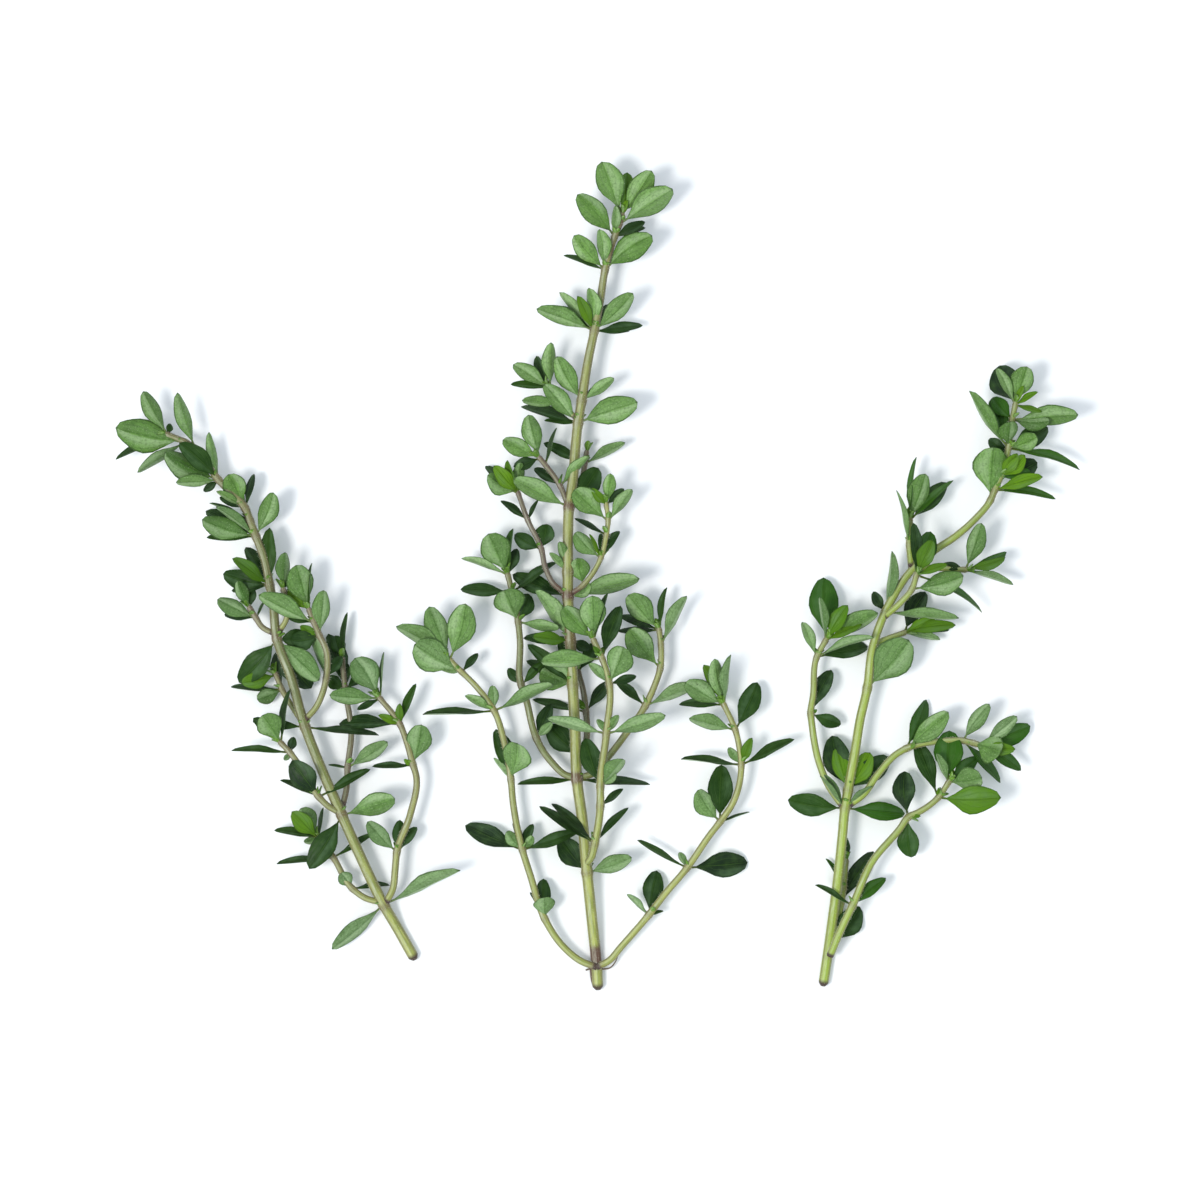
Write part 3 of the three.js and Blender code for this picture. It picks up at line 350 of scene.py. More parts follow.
    shoot("left_low_left_shoot", 0.5, 0.4, at(-35.9, -54.3, 2.6), at(-38.4, -53.6, 2.9),
        at(-40.6, -52, 3, pale(-1.9, 2.7, 0.75), edge(6.2, 0.6, 0.2, -1.8)),
        at(-43.8, -46.8, 2.8, edge(-9.5, -0.7, 0.1), edge(6.5, 4.2, 0.14, -1.2)),
        at(-46.3, -43.5, 2.6, broad(-2.9, 5, 0.68), fresh(-4.3, 4.4, 0.5), edge(-7.3, 1.5, 0.15),
           pale(-2.4, -0.7, 0.5), dark(0.7, 5, 0.12))),
    shoot("left_low_right_shoot", 0.55, 0.4, at(-34.9, -54.2, 2.8), at(-33.8, -52, 3.8),
        at(-33.4, -48.8, 4.3),
        at(-33.1, -45.8, 4.4, pale(-4.9, 5.3, 0.4), dark(3.2, 4.2, 0.33), dark(0.5, 5.3, 0.4)),
        at(-30.9, -39.7, 4.5), at(-29.9, -33, 4.6),
        at(-30.4, -31.3, 4.6, edge(-6.8, -0.1, 0.17), broad(1.5, 6.9, 0.6), fresh(-1.5, 0.9, 0.5)),
        at(-31.3, -28, 4.7),
        at(-32.6, -24.5, 4.8, edge(2.5, 6.8, 0.17), fresh(0, 3.4, 0.4), dark(-10.3, 0.3, 0.25),
           fresh(-3.5, 1.5, 0.36)),
        at(-35.9, -20.2, 5, broad(-4.1, 6.8, 0.62), pale(-8.4, 0.8, 0.34), dark(-3.9, -1.8, 0.25),
           edge(0.5, 7.7, 0.1))),
    shoot("left_second_shoot", 0.5, 0.4, at(-42.6, -39.3, 4.2), at(-44.5, -38.2, 4.8),
        at(-46.1, -36.6, 5.2, dark(-4.3, 6, 0.58, 1.6), edge(-6.3, 3, 0.15), edge(8.4, 4.8, 0.14, -2.5)),
        at(-49.9, -30.5, 5.4),
        at(-50.9, -29.2, 5.4, edge(-9.7, 0.5, 0.1), dark(0.6, 2.6, 0.6), pale(-0.9, -1.3, 0.6)),
        at(-52.4, -27.6, 5.4, front(-2.9, 4.8, 0.78), dark(-4.6, 4.3, 0.4), edge(1.2, 9, 0.12))),
    shoot("left_brown_shoot", 0.48, 0.4, at(-42.2, -38.2, 3.6), at(-41.6, -35.5, 2.8),
        at(-41.4, -31.8, 2.6, pale(6.8, 4.5, 0.28), edge(-3.2, 0.5, 0.12)), at(-40.8, -26.3, 2.4),
        at(-41.8, -18.8, 2.4, dark(-3.1, 2.2, 0.6, -0.6), dark(0.2, 4.4, 0.42), dark(-2.8, 9.4, 0.3),
           dark(3.4, 3, 0.4)), at(-42.3, -13.8, 2.6, dark(-1.2, 4.1, 0.6), edge(0.6, 7.9, 0.1))),
    shoot("left_back_shoot", 0.45, 0.4, at(-49.2, -23.8, 3.8), at(-50.9, -21.3, 2.2),
        at(-52.4, -18.8, 2, pale(-4.1, -1.6, 0.6, 1.5), dark(-8.7, 0.7, 0.16), dark(-1.2, 6.3, 0.35)),
        at(-53.4, -16.3, 2, fresh(-5.7, -1.3, 0.5, 1.5))),
    shoot("left_third_shoot", 0.5, 0.4, at(-48.2, -23.6, 4.6), at(-46.6, -21.8, 5.6),
        at(-44.8, -16.8, 6, dark(2.5, 3.7, 0.4), pale(-2.6, 8, 0.27, -1)), at(-44.8, -12.2, 6.2),
        at(-45.9, -9.7, 6.3, pale(0.7, 7.6, 0.42), fresh(-3.3, 1.5, 0.4, -0.8), dark(-4.9, -0.9, 0.7)),
        at(-46.8, -7.6, 6.4, dark(-5.1, 1.4, 0.36, -1.4), pale(-9, 4.8, 0.34)),
        at(-47.6, -5.5, 6.6, broad(-2.2, 7.6, 0.6), fresh(-4, 3.4, 0.4, -0.5), edge(0.2, 7.8, 0.15))),
    shoot("left_fourth_shoot", 0.45, 0.4, at(-53.6, -9.4, 4.6), at(-55.6, -8.3, 4.6),
        at(-56.6, -6.8, 4.6, pale(-6.3, 3.1, 0.42), dark(-5.4, 0.7, 0.33), edge(1.6, 3.4, 0.15, -2)),
        at(-57.6, -5.2, 4.8, pale(-2, 4.6, 0.42), dark(0.3, 3.6, 0.5))),
    shoot("left_fifth_shoot", 0.45, 0.4, at(-52.6, -9, 4.8), at(-51.4, -6.8, 5.8), at(-51.4, -4.7, 6.2),
        at(-51.9, -2.2, 6.4, pale(0.3, 6.4, 0.42), dark(0.9, 3.2, 0.6))),
    shoot("right_main_stem", 0.78, 0.42, at(38.1, -68.2, 0.5), at(38.8, -63.5, 0.7), at(39.6, -57.2, 2.3),
        at(40.4, -50.5, 3.8), at(41.1, -43.8, 4.2),
        at(41.6, -38.5, 4.4, dark(-9.5, 1.3, 0.38), dark(10.3, -0.8, 0.3), pale(-4.2, 5.6, 0.15, 3.4),
           pale(4.4, 3.8, 0.22), pale(-3.4, 5.8, 0.14)),
        at(42.1, -35.5, 4.5, dark(-2.7, 9.1, 0.5, -2.6), fresh(-1.9, 7, 0.42, -1.8),
           fresh(3.8, 6.2, 0.5, -1.8), dark(7, 5.7, 0.44, -3.2)), at(43.3, -28.8, 4.5),
        at(44.1, -23.8, 4.5), at(45.3, -18.5, 4.5, broad(6.8, 8.2, 0.6)), at(46.1, -12.2, 4.5),
        at(48.3, -5.8, 4.6, pale(1.2, 10.1, 0.18, 1.5), pale(12.2, -0.6, 0.19, 1.5), dark(-2, 3.4, 0.45)),
        at(49.6, -3.3, 4.7), at(52.4, 0.8, 4.8), at(56.6, 4.5, 4.9), at(59.9, 6.7, 5), at(63.3, 9.7, 5),
        at(65.8, 12.8, 5, broad(0.3, 8.9, 0.7)),
        at(66.5, 14.5, 5, edge(10.2, -1.3, 0.11, bow=0.01), fresh(7.7, 2.3, 0.28)),
        at(67.4, 16.6, 5, dark(0.9, 5.2, 0.5, -1), dark(5.2, 1, 0.4, -0.5), fresh(2.7, 3.9, 0.5),
           fresh(4.1, 3.7, 0.5, 0.6), dark(6.4, 2.6, 0.5)),
        at(68.8, 21.5, 5, dark(-3.4, 1.3, 0.6), edge(12, -3.1, 0.13, bow=-0.02),
           pale(-6.6, 9.6, 0.22, bow=-0.08), front(0, 4.4, 0.85), front(4.7, 1.9, 0.6),
           dark(6.8, 3.6, 0.46), dark(-2.6, 8.4, 0.42, -1)),
        at(69.4, 26.2, 5.2, pale(10.8, 1.1, 0.28), pale(6.2, -0.4, 0.44), dark(-3.2, 3.8, 0.55)),
        at(69.9, 28.7, 5.4, dark(-2.6, 6.6, 0.74), broad(1.7, 6.4, 0.62), fresh(3.6, 2.1, 0.28),
           fresh(1.3, 3.1, 0.3), pale(-3.1, 6.2, 0.24), fresh(4.3, -1.2, 0.25))),
    shoot("right_low_front_shoot", 0.6, 0.42, at(39.2, -63.2, 2.4), at(40.4, -60, 4.2), at(41.6, -57.2, 5),
        at(42.8, -54.7, 5.2, edge(-6.1, 3.6, 0.15), dark(5.6, 4.6, 0.3)), at(46.1, -47.4, 5.2),
        at(50.8, -41.8, 5),
        at(52.1, -40, 5, dark(-0.6, 7.7, 0.5), dark(0.6, -6.9, 0.55), fresh(2, 0.2, 0.35)),
        at(53.8, -39.2, 5),
        at(57.1, -36.7, 5.2, dark(-3.3, 9.6, 0.27), fresh(10.1, 0, 0.46), fresh(0, 1.6, 0.4)),
        at(58.8, -34.2, 5.4, front(5.4, 1, 0.85), dark(0.3, 8.7, 0.55), pale(-2, 5, 0.3),
           dark(4.9, 4.2, 0.4))),
    shoot("right_low_back_shoot", 0.45, 0.4, at(39.7, -61.2, 1.6, dark(4.6, 6.1, 0.55)),
        at(40.6, -57.2, 1.3), at(41.2, -54.3, 1.3, dark(5.1, 8.6, 0.32, -2)),
        at(41.5, -52.2, 1.3, edge(-2.8, 5.2, 0.15)), at(41.9, -47.5, 1.5, edge(0, 4.2, 0.2))),
    shoot("right_left_shoot", 0.55, 0.42, at(41.2, -38.2, 4.4), at(38.8, -34.7, 4.2), at(37.4, -31.3, 4),
        at(36.1, -24.7, 4),
        at(35.9, -22.7, 4, dark(5.2, -1.9, 0.42), fresh(1, 0.6, 0.5), dark(3.4, 7.3, 0.38)),
        at(36.3, -19.7, 4),
        at(36.9, -13.3, 4.2, pale(-2.4, 6, 0.28), dark(8.8, 2, 0.36, -3.6), pale(9.3, 3.5, 0.18, bow=0.01)),
        at(38.4, -10.5, 4.6, dark(-0.3, 10.5, 0.47), pale(-0.9, 7.3, 0.2, 4), pale(8.5, 4.8, 0.36),
           fresh(3.5, 5.8, 0.4), fresh(5.8, 2.7, 0.35))),
    shoot("right_second_shoot", 0.55, 0.42, at(42.3, -38, 4.4), at(44.6, -36.3, 4.5), at(47, -33, 4.2),
        at(50.4, -29.4, 3.8), at(51.9, -28.6, 3.4, dark(3.7, 8.1, 0.36), pale(7, 6.1, 0.38)),
        at(57.4, -27.4, 3.8), at(61.3, -27.3, 4, pale(4.3, 6.2, 0.32), dark(6.7, -6.9, 0.2)),
        at(63, -27.7, 4.2, front(4.6, -1.3, 1.1)),
        at(64.6, -28.2, 4.4, pale(5.6, 5, 0.3), dark(8.3, 3.2, 0.4), fresh(5.2, -0.5, 0.45),
           dark(6.4, -3.9, 0.3, 0.4))),
    shoot("right_third_back_shoot", 0.45, 0.4, at(46.2, -11.4, 4.2), at(48.4, -10.4, 2.8),
        at(51.6, -9.3, 2.4, dark(3.6, 6.9, 0.45), fresh(8.3, 1.5, 0.2), fresh(5, 2.6, 0.4),
           dark(7.6, 0.6, 0.24), pale(6, -0.9, 0.24, 0.1))),
    shoot("right_front_fork_shoot", 0.5, 0.4, at(48.1, -6.7, 4.6), at(50.9, -4.1, 6.5),
        at(52.6, -2, 7.2, pale(8.5, 2.2, 0.46)),
        at(53.3, 0.3, 7.8, dark(-0.5, 8.6, 0.25, 3), dark(2.5, 7.3, 0.46), fresh(2.5, 5.8, 0.47),
           fresh(5, 1.8, 0.25), edge(11.4, -5.9, 0.12, -4, bow=0.02))),
    shoot("right_up_shoot", 0.5, 0.4, at(52.6, 1.6, 4.8), at(52.3, 5.3, 4.4, pale(-2, 9.2, 0.17, bow=0)),
        at(52.4, 9.5, 4.6, pale(2.4, 7.8, 0.45), edge(0.8, 10.5, 0.09), dark(6.2, 6.4, 0.33),
           edge(6.9, 6.9, 0.14))),
    shoot("right_cluster_shoot", 0.5, 0.4, at(53.6, 1.6, 4.7), at(57, 1.5, 4.5), at(59.6, 1.3, 4.7),
        at(61.6, 1.2, 5.2, dark(-4, 0.9, 0.3), pale(2.6, 7.8, 0.37, bow=0.01), dark(7.2, 2.7, 0.25),
           fresh(6.5, 1.9, 0.3), pale(8, -2.3, 0.14, 0.2, bow=0))),
)

# ---- Node trees ----


def operation(number: str, vector: str, doc: str) -> Callable[..., "Term"]:
    """Makes a method of Term that adds one Math or Vector Math node.

    Args:
        number: The Math node's operation.
        vector: The Vector Math node's operation, used where an operand is a vector.
        doc: What the method gives.

    Returns:
        The method.
    """
    def work(self: "Term", *others: "Operand") -> "Term":
        """Adds the node.

        Args:
            self: The first operand.
            others: The operands after it.

        Returns:
            The result.
        """
        operands = (self, *others)
        if any(isinstance(o, Term) and o.socket.type in ("VECTOR", "RGBA") for o in operands):
            return self.bench.node("ShaderNodeVectorMath", {"operation": vector}, operands)
        return self.bench.node("ShaderNodeMath", {"operation": number}, operands)

    work.__doc__ = doc
    return work


class Term:
    """A socket that number and vector expressions can be written on."""

    def __init__(self, bench: "Bench", socket: bpy.types.NodeSocket) -> None:
        """Keeps the socket and the bench whose tree it belongs to."""
        self.bench, self.socket = bench, socket

    def output(self, name: str) -> "Term":
        """Gives another output of the same node."""
        return Term(self.bench, next(s for s in self.socket.node.outputs if s.name == name and s.enabled))

    __add__ = __radd__ = operation("ADD", "ADD", "Sum.")
    __sub__ = operation("SUBTRACT", "SUBTRACT", "Difference.")
    __truediv__ = operation("DIVIDE", "DIVIDE", "Quotient.")
    __pow__ = operation("POWER", "POWER", "Power.")
    __abs__ = operation("ABSOLUTE", "ABSOLUTE", "The value without its sign.")
    product = operation("MULTIPLY", "MULTIPLY", "Product, axis by axis where one is a vector.")
    sign = operation("SIGN", "SIGN", "-1, 0 or 1.")
    sine = operation("SINE", "SINE", "Sine of an angle in radians.")
    cosine = operation("COSINE", "COSINE", "Cosine of an angle in radians.")
    exponential = operation("EXPONENT", "ABSOLUTE", "e to the power of a number.")
    fraction = operation("FRACT", "FRACTION", "What is left of the value above a whole number.")
    at_least = operation("MAXIMUM", "MAXIMUM", "The larger of the two.")
    at_most = operation("MINIMUM", "MINIMUM", "The smaller of the two.")
    above = operation("GREATER_THAN", "MAXIMUM", "1 where the number is larger.")
    below = operation("LESS_THAN", "MINIMUM", "1 where the number is smaller.")
    cross = operation("MULTIPLY", "CROSS_PRODUCT", "Cross product of two vectors.")

    def __rsub__(self, other: float) -> "Term":
        """Difference from a number."""
        return self.bench.node("ShaderNodeMath", {"operation": "SUBTRACT"}, (other, self))

    def __mul__(self, other: "Operand") -> "Term":
        """Multiplies two numbers, or scales a vector by a number.

        Args:
            other: The second operand.

        Returns:
            The product.
        """
        if self.socket.type == "VECTOR":
            return self.bench.node("ShaderNodeVectorMath", {"operation": "SCALE"},
                                   {"Vector": self, "Scale": other})
        if isinstance(other, Term) and other.socket.type == "VECTOR":
            return other * self
        return self.product(other)

    __rmul__ = __mul__

    def parts(self) -> tuple["Term", "Term", "Term"]:
        """The three axes of a vector."""
        split = self.bench.node("ShaderNodeSeparateXYZ", {}, (self,))
        return split, split.output("Y"), split.output("Z")

    def step(self, low: float, high: float) -> "Term":
        """Rises smoothly from 0 at low to 1 at high.

        Args:
            low: Where the rise starts.
            high: Where it ends.

        Returns:
            The share of the rise.
        """
        return self.bench.node("ShaderNodeMapRange", {"interpolation_type": "SMOOTHSTEP"},
                               (self, low, high, 0.0, 1.0))

    def band(self, rise: tuple[float, float], fall: tuple[float, float]) -> "Term":
        """Rises smoothly over the first span and falls again over the second."""
        return self.step(*rise) * (1.0 - self.step(*fall))


Operand = Term | float | Sequence[float]


class Bench:
    """Builds one node tree, a node a call."""

    def __init__(self, tree: bpy.types.NodeTree) -> None:
        """Keeps the tree."""
        self.tree = tree

    def node(self, kind: str, settings: Mapping[str, object],
             values: Sequence["Operand"] | Mapping[str, object] = ()) -> Term:
        """Adds a node.

        Args:
            kind: The node's type.
            settings: Its own settings, which are set first.
            values: What goes into its sockets, in order or by name: a Term is linked, anything else is set.

        Returns:
            Its first output.
        """
        node = self.tree.nodes.new(kind)
        for name, setting in settings.items():
            setattr(node, name, setting)
        enabled = [socket for socket in node.inputs if socket.enabled]
        if isinstance(values, Mapping):
            pairs = [(next(s for s in enabled if s.name == name), value) for name, value in values.items()]
        else:
            pairs = list(zip(enabled, values))
        for socket, value in pairs:
            for one in value if isinstance(value, list) else [value]:
                if isinstance(one, Term):
                    self.tree.links.new(one.socket, socket)
                else:
                    socket.default_value = one
        return Term(self, next((s for s in node.outputs if s.enabled), None))

    def xyz(self, x: "Operand", y: "Operand", z: "Operand") -> Term:
        """Joins three numbers into a vector."""
        return self.node("ShaderNodeCombineXYZ", {}, (x, y, z))


class Recipe(Bench):
    """A Geometry Nodes tree with named inputs, that ends in one geometry."""

    def __init__(self, name: str, **inputs: str) -> None:
        """Starts the tree.

        Args:
            name: The tree's name.
            inputs: The type of each input besides the geometry, by name.
        """
        super().__init__(bpy.data.node_groups.new(name, "GeometryNodeTree"))
        self.tree.interface.new_socket("Geometry", in_out="OUTPUT", socket_type="NodeSocketGeometry")
        self.inputs: dict[str, Term] = {}
        entry = self.tree.nodes.new("NodeGroupInput")
        for label, kind in {"geometry": "Geometry", **inputs}.items():
            made = self.tree.interface.new_socket(label, in_out="INPUT", socket_type="NodeSocket" + kind)
            socket = next(s for s in entry.outputs if s.identifier == made.identifier)
            self.inputs[label] = Term(self, socket)

    def shape(self, kind: str, settings: Mapping[str, object] | None = None, **values: object) -> Term:
        """Adds a Geometry Nodes node.

        Args:
            kind: Its type after GeometryNode.
            settings: Its own settings.
            values: What goes into its sockets, by name, with an underscore for each space.

        Returns:
            Its first output.
        """
        named = {name.replace("_", " "): value for name, value in values.items()}
        return self.node("GeometryNode" + kind, settings or {}, named)

    def attribute(self, name: str, kind: str = "FLOAT") -> Term:
        """Reads a named attribute."""
        return self.shape("InputNamedAttribute", {"data_type": kind}, Name=name)

    def vector(self, name: str) -> Term:
        """Reads a named attribute that holds vectors."""
        return self.attribute(name, "FLOAT_VECTOR")

    def store_vector(self, geometry: Term, name: str, value: Term) -> Term:
        """Writes a named attribute that holds a vector for each point."""
        return self.shape("StoreNamedAttribute", {"data_type": "FLOAT_VECTOR"}, Geometry=geometry,
                          Name=name, Value=value)

    def end(self, geometry: Term) -> None:
        """Leads the last geometry out of the tree."""
        out = self.tree.nodes.new("NodeGroupOutput")
        self.tree.links.new(geometry.socket, out.inputs[0])

    def apply(self, start: bpy.types.Mesh, **values: object) -> bpy.types.Mesh:
        """Runs the tree on a mesh and gives its result as a plain mesh.

        Args:
            start: The mesh that goes in, which is removed.
            values: The value of each input.

        Returns:
            The plain result.
        """
        carrier = placed("carrier", start)
        modifier = carrier.modifiers.new("growth", "NODES")
        modifier.node_group = self.tree
        for name, value in values.items():
            modifier[self.inputs[name].socket.identifier] = value
        seen = bpy.context.evaluated_depsgraph_get()
        result = bpy.data.meshes.new_from_object(carrier.evaluated_get(seen), depsgraph=seen)
        bpy.data.objects.remove(carrier)
        bpy.data.meshes.remove(start)
        return result


class BladeRecipe(Recipe):
    """Grows a closed, folded, arched blade at each point, shaped by what the point carries."""

    SECTION_SIDES = 8       # two at the rim, three over and three under
    RIM_PULL = 0.65         # moves the section's points out towards the rim
    RIM_BAND = 0.01         # of the side, where the edges of the rim stay crisp
    RIM_WIDTH = 0.03 * MM   # half the width that the blade keeps at its tip
    PETIOLE_SHARE = 0.14    # of the whole length
    BASE_POWER, TIP_POWER = 1.35, 0.5       # a wedge at the base, a round end at the tip
    TIP_CROWDING = 1.3      # above 1 the rows of faces lie closer together near the tip
    THICK, THINNING = 1.15, 0.7     # of the blade at its base, and what it loses of that towards the tip
    WAVES, WAVE_SHIFT, WAVE_LIFT = 8.0, 2.3, 0.05       # of the rim along the blade
    CURL_LATE = 2.5         # above 1 the tip curls more than the middle
    LOW = 0.4 * MM          # below this height the blade lies down instead of dipping under the surface

    def __init__(self) -> None:
        """Builds the tree."""
        super().__init__("leaf blades", stations="Int", thickness="Float", petiole="Float",
                         upper="Material", under="Material")
        points = self.shape("MeshToPoints", {"mode": "VERTICES"}, Mesh=self.inputs["geometry"])
        blades = self.shape("InstanceOnPoints", Points=points, Instance=self._blank())
        real = self.shape("RealizeInstances", Geometry=blades)
        shaped = self.shape("SetPosition", Geometry=real, Position=self._place())
        below = self.shape("SetMaterial", Geometry=shaped, Material=self.inputs["under"])
        over = self.vector("blade").parts()[2].above(0.0)
        self.end(self.shape("SetMaterial", Geometry=below, Selection=over, Material=self.inputs["upper"]))

    def _blank(self) -> Term:
        """Makes the straight closed tube that every blade is shaped from.

        Returns:
            The tube, with the shares of the length and of the half width and the side stored as "blade".
        """
        tube = self.shape("MeshCylinder", {"fill_type": "NGON"}, Vertices=self.SECTION_SIDES,
                          Side_Segments=self.inputs["stations"], Radius=1.0, Depth=1.0)
        across, over, even = self.shape("InputPosition").parts()
        share = 1.0 - (1.0 - (even + 0.5)) ** self.TIP_CROWDING
        width = across.sign() * abs(across) ** self.RIM_PULL
        smooth = self.shape("SetShadeSmooth", {"domain": "FACE"}, Geometry=tube)
        crisp = self.shape("SetShadeSmooth", {"domain": "EDGE"}, Geometry=smooth,
                           Selection=abs(over).below(self.RIM_BAND), Shade_Smooth=False)
        return self.store_vector(crisp, "blade", self.xyz(share, width, over))

    def _place(self) -> Term:
        """Works out where each point of the blades goes.

        Returns:
            The place.
        """
        share, width, over = self.vector("blade").parts()
        outwards, facing = self.vector("outwards"), self.vector("facing")
        length, half = self.attribute("length"), self.attribute("half")
        sideways = facing.cross(outwards)
        turn = self.attribute("twist") * share
        side_now = sideways * turn.cosine() + facing * turn.sine()
        face_now = facing * turn.cosine() - sideways * turn.sine()

        along_blade = ((share - self.PETIOLE_SHARE) / (1 - self.PETIOLE_SHARE)).at_least(0.0)
        swell = (along_blade ** self.attribute("belly") * math.pi).sine().at_least(0.0)
        outline = swell ** (self.BASE_POWER - along_blade * (self.BASE_POWER - self.TIP_POWER))
        reach = outline * half + self.inputs["petiole"] * (1.0 - share) ** 3.0 + self.RIM_WIDTH
        wave = (share * self.WAVES + self.attribute("number") * self.WAVE_SHIFT).sine() * self.WAVE_LIFT
        lift = abs(width) * reach * (self.attribute("fold") * (along_blade * 2.0).at_most(1.0) + wave)
        thick = over * self.inputs["thickness"] * (self.THICK - share * self.THINNING)
        arch = (share * math.pi).sine()
        bow = length * (self.attribute("arch") * arch + self.attribute("curl") * share ** self.CURL_LATE)

        sag = self.vector("bend") * (length * arch)
        place = (self.vector("root") + outwards * (share * length) + sag
                 + side_now * (width * reach) + face_now * (thick + lift) + facing * bow)
        x, y, height = place.parts()
        low = ((height / self.LOW - 1.0).at_most(0.0)).exponential() * self.LOW
        return self.xyz(x, y, height.at_least(self.LOW) + low - self.LOW)


class StalkRecipe(Recipe):
    """Makes a softly square stem along a path and sets short hairs on it."""

    CORNER = 0.6            # 0 leaves the stem round, 1 makes it fully square
    SQUARING = 4.0          # how sharp the corners of the full square are
    LOWEST = 0.01 * MM
    HAIR_LENGTH, HAIR_RADIUS = 0.3 * MM, 0.02 * MM
    SHORTEST_HAIR, LONGEST_HAIR = 0.6, 1.3      # times the usual hair length
    HAIR_LEAN = 0.6
    KNOT_HAIRS = 2.0        # how many times more of them stand at a joint

    def __init__(self) -> None:
        """Builds the tree."""
        super().__init__("hairy stem", sides="Int", density="Float", length="Float", radius="Float",
                         seed="Int", skin="Material", down="Material")
        path = self.shape("MeshToCurve", Mesh=self.inputs["geometry"])
        path = self.shape("SetCurveNormal", {"mode": "Z_UP"}, Curve=path)
        tube = self.shape("CurveToMesh", Curve=path, Profile_Curve=self._section(),
                          Scale=self.attribute("radius_here"), Fill_Caps=True)
        tube = self.shape("SetShadeSmooth", {"domain": "FACE"}, Geometry=tube)
        hairs = self.shape("SetMaterial", Geometry=self._hairs(tube), Material=self.inputs["down"])
        tube = self.shape("SetMaterial", Geometry=tube, Material=self.inputs["skin"])
        whole = self.shape("JoinGeometry", Geometry=[hairs, tube])
        x, y, z = self.shape("InputPosition").parts()
        clear = self.xyz(x, y, z.at_least(self.LOWEST))
        self.end(self.shape("SetPosition", Geometry=whole, Position=clear))

    def _section(self) -> Term:
        """Makes the stem's section, a circle drawn out to four soft corners.

        Returns:
            The section, with the direction of each point stored as "around".
        """
        ring = self.shape("CurvePrimitiveCircle", {"mode": "RADIUS"}, Resolution=self.inputs["sides"],
                          Radius=1.0)
        place = self.shape("InputPosition")
        x, y, _ = place.parts()
        square = (x ** self.SQUARING + y ** self.SQUARING) ** (-1 / self.SQUARING)
        ring = self.store_vector(ring, "around", place)
        cornered = place * (1.0 + self.CORNER * (square - 1.0))
        return self.shape("SetPosition", Geometry=ring, Position=cornered)

    def _hairs(self, tube: Term) -> Term:
        """Sets hairs on the stem, closer together near its joints and none close to the surface it lies on.

        Args:
            tube: The stem.

        Returns:
            The hairs as a real mesh.
        """
        length, radius, seed = (self.inputs[name] for name in ("length", "radius", "seed"))
        knot = self.vector("stalk").parts()[2]
        spots = self.shape("DistributePointsOnFaces", {"distribute_method": "RANDOM"}, Mesh=tube,
                           Density=self.inputs["density"] * (1.0 + self.KNOT_HAIRS * knot), Seed=seed)
        lean = self.node("FunctionNodeRandomValue", {"data_type": "FLOAT_VECTOR"},
                         {"Min": (-self.HAIR_LEAN, -self.HAIR_LEAN, 0.0),
                          "Max": (self.HAIR_LEAN, self.HAIR_LEAN, 0.0), "Seed": seed})
        stance = self.node("FunctionNodeRotateRotation", {"rotation_space": "LOCAL"},
                           (spots.output("Rotation"), lean))
        size = self.node("FunctionNodeRandomValue", {"data_type": "FLOAT"},
                         {"Min": self.SHORTEST_HAIR, "Max": self.LONGEST_HAIR, "Seed": seed})
        spike = self.shape("MeshCone", {"fill_type": "NGON"}, Vertices=3, Radius_Top=0.0, Radius_Bottom=1.0,
                           Depth=1.0)
        clear = self.shape("InputPosition").parts()[2].above(length * self.LONGEST_HAIR)
        hairs = self.shape("InstanceOnPoints", Points=spots, Selection=clear, Instance=spike,
                           Rotation=stance, Scale=self.xyz(radius, radius, length * size))
        return self.shape("RealizeInstances", Geometry=hairs)

    def grow(self, finishes: "Finishes", places: Sequence[Vector], radii: Sequence[float],
             stalk: Sequence[Vector], skin: Sequence[Vector], **settings: object) -> bpy.types.Mesh:
        """Makes a stem.

        Args:
            finishes: The materials.
            places: Its path, in millimetres.
            radii: Its half thickness at each place, in millimetres.
            stalk: At each place, how far along it is, how brown it is and how close to a joint.
            skin: At each place, how much bark there is, how deep the green is and how fresh.
            settings: Its sides, the hairs on a square metre and the seed.

        Returns:
            The stem with its hairs as one mesh.
        """
        mesh = bpy.data.meshes.new("stem path")
        mesh.from_pydata([place * MM for place in places], [(i, i + 1) for i in range(len(places) - 1)], [])
        write_attribute(mesh, "radius_here", [radius * MM for radius in radii])
        write_attribute(mesh, "stalk", stalk)
        write_attribute(mesh, "skin", skin)
        grown = self.apply(mesh, length=self.HAIR_LENGTH, radius=self.HAIR_RADIUS, skin=finishes.skin,
                           down=finishes.down, **settings)
        grown.attributes.remove(grown.attributes["radius_here"])
        return grown


# ---- Finishes ----


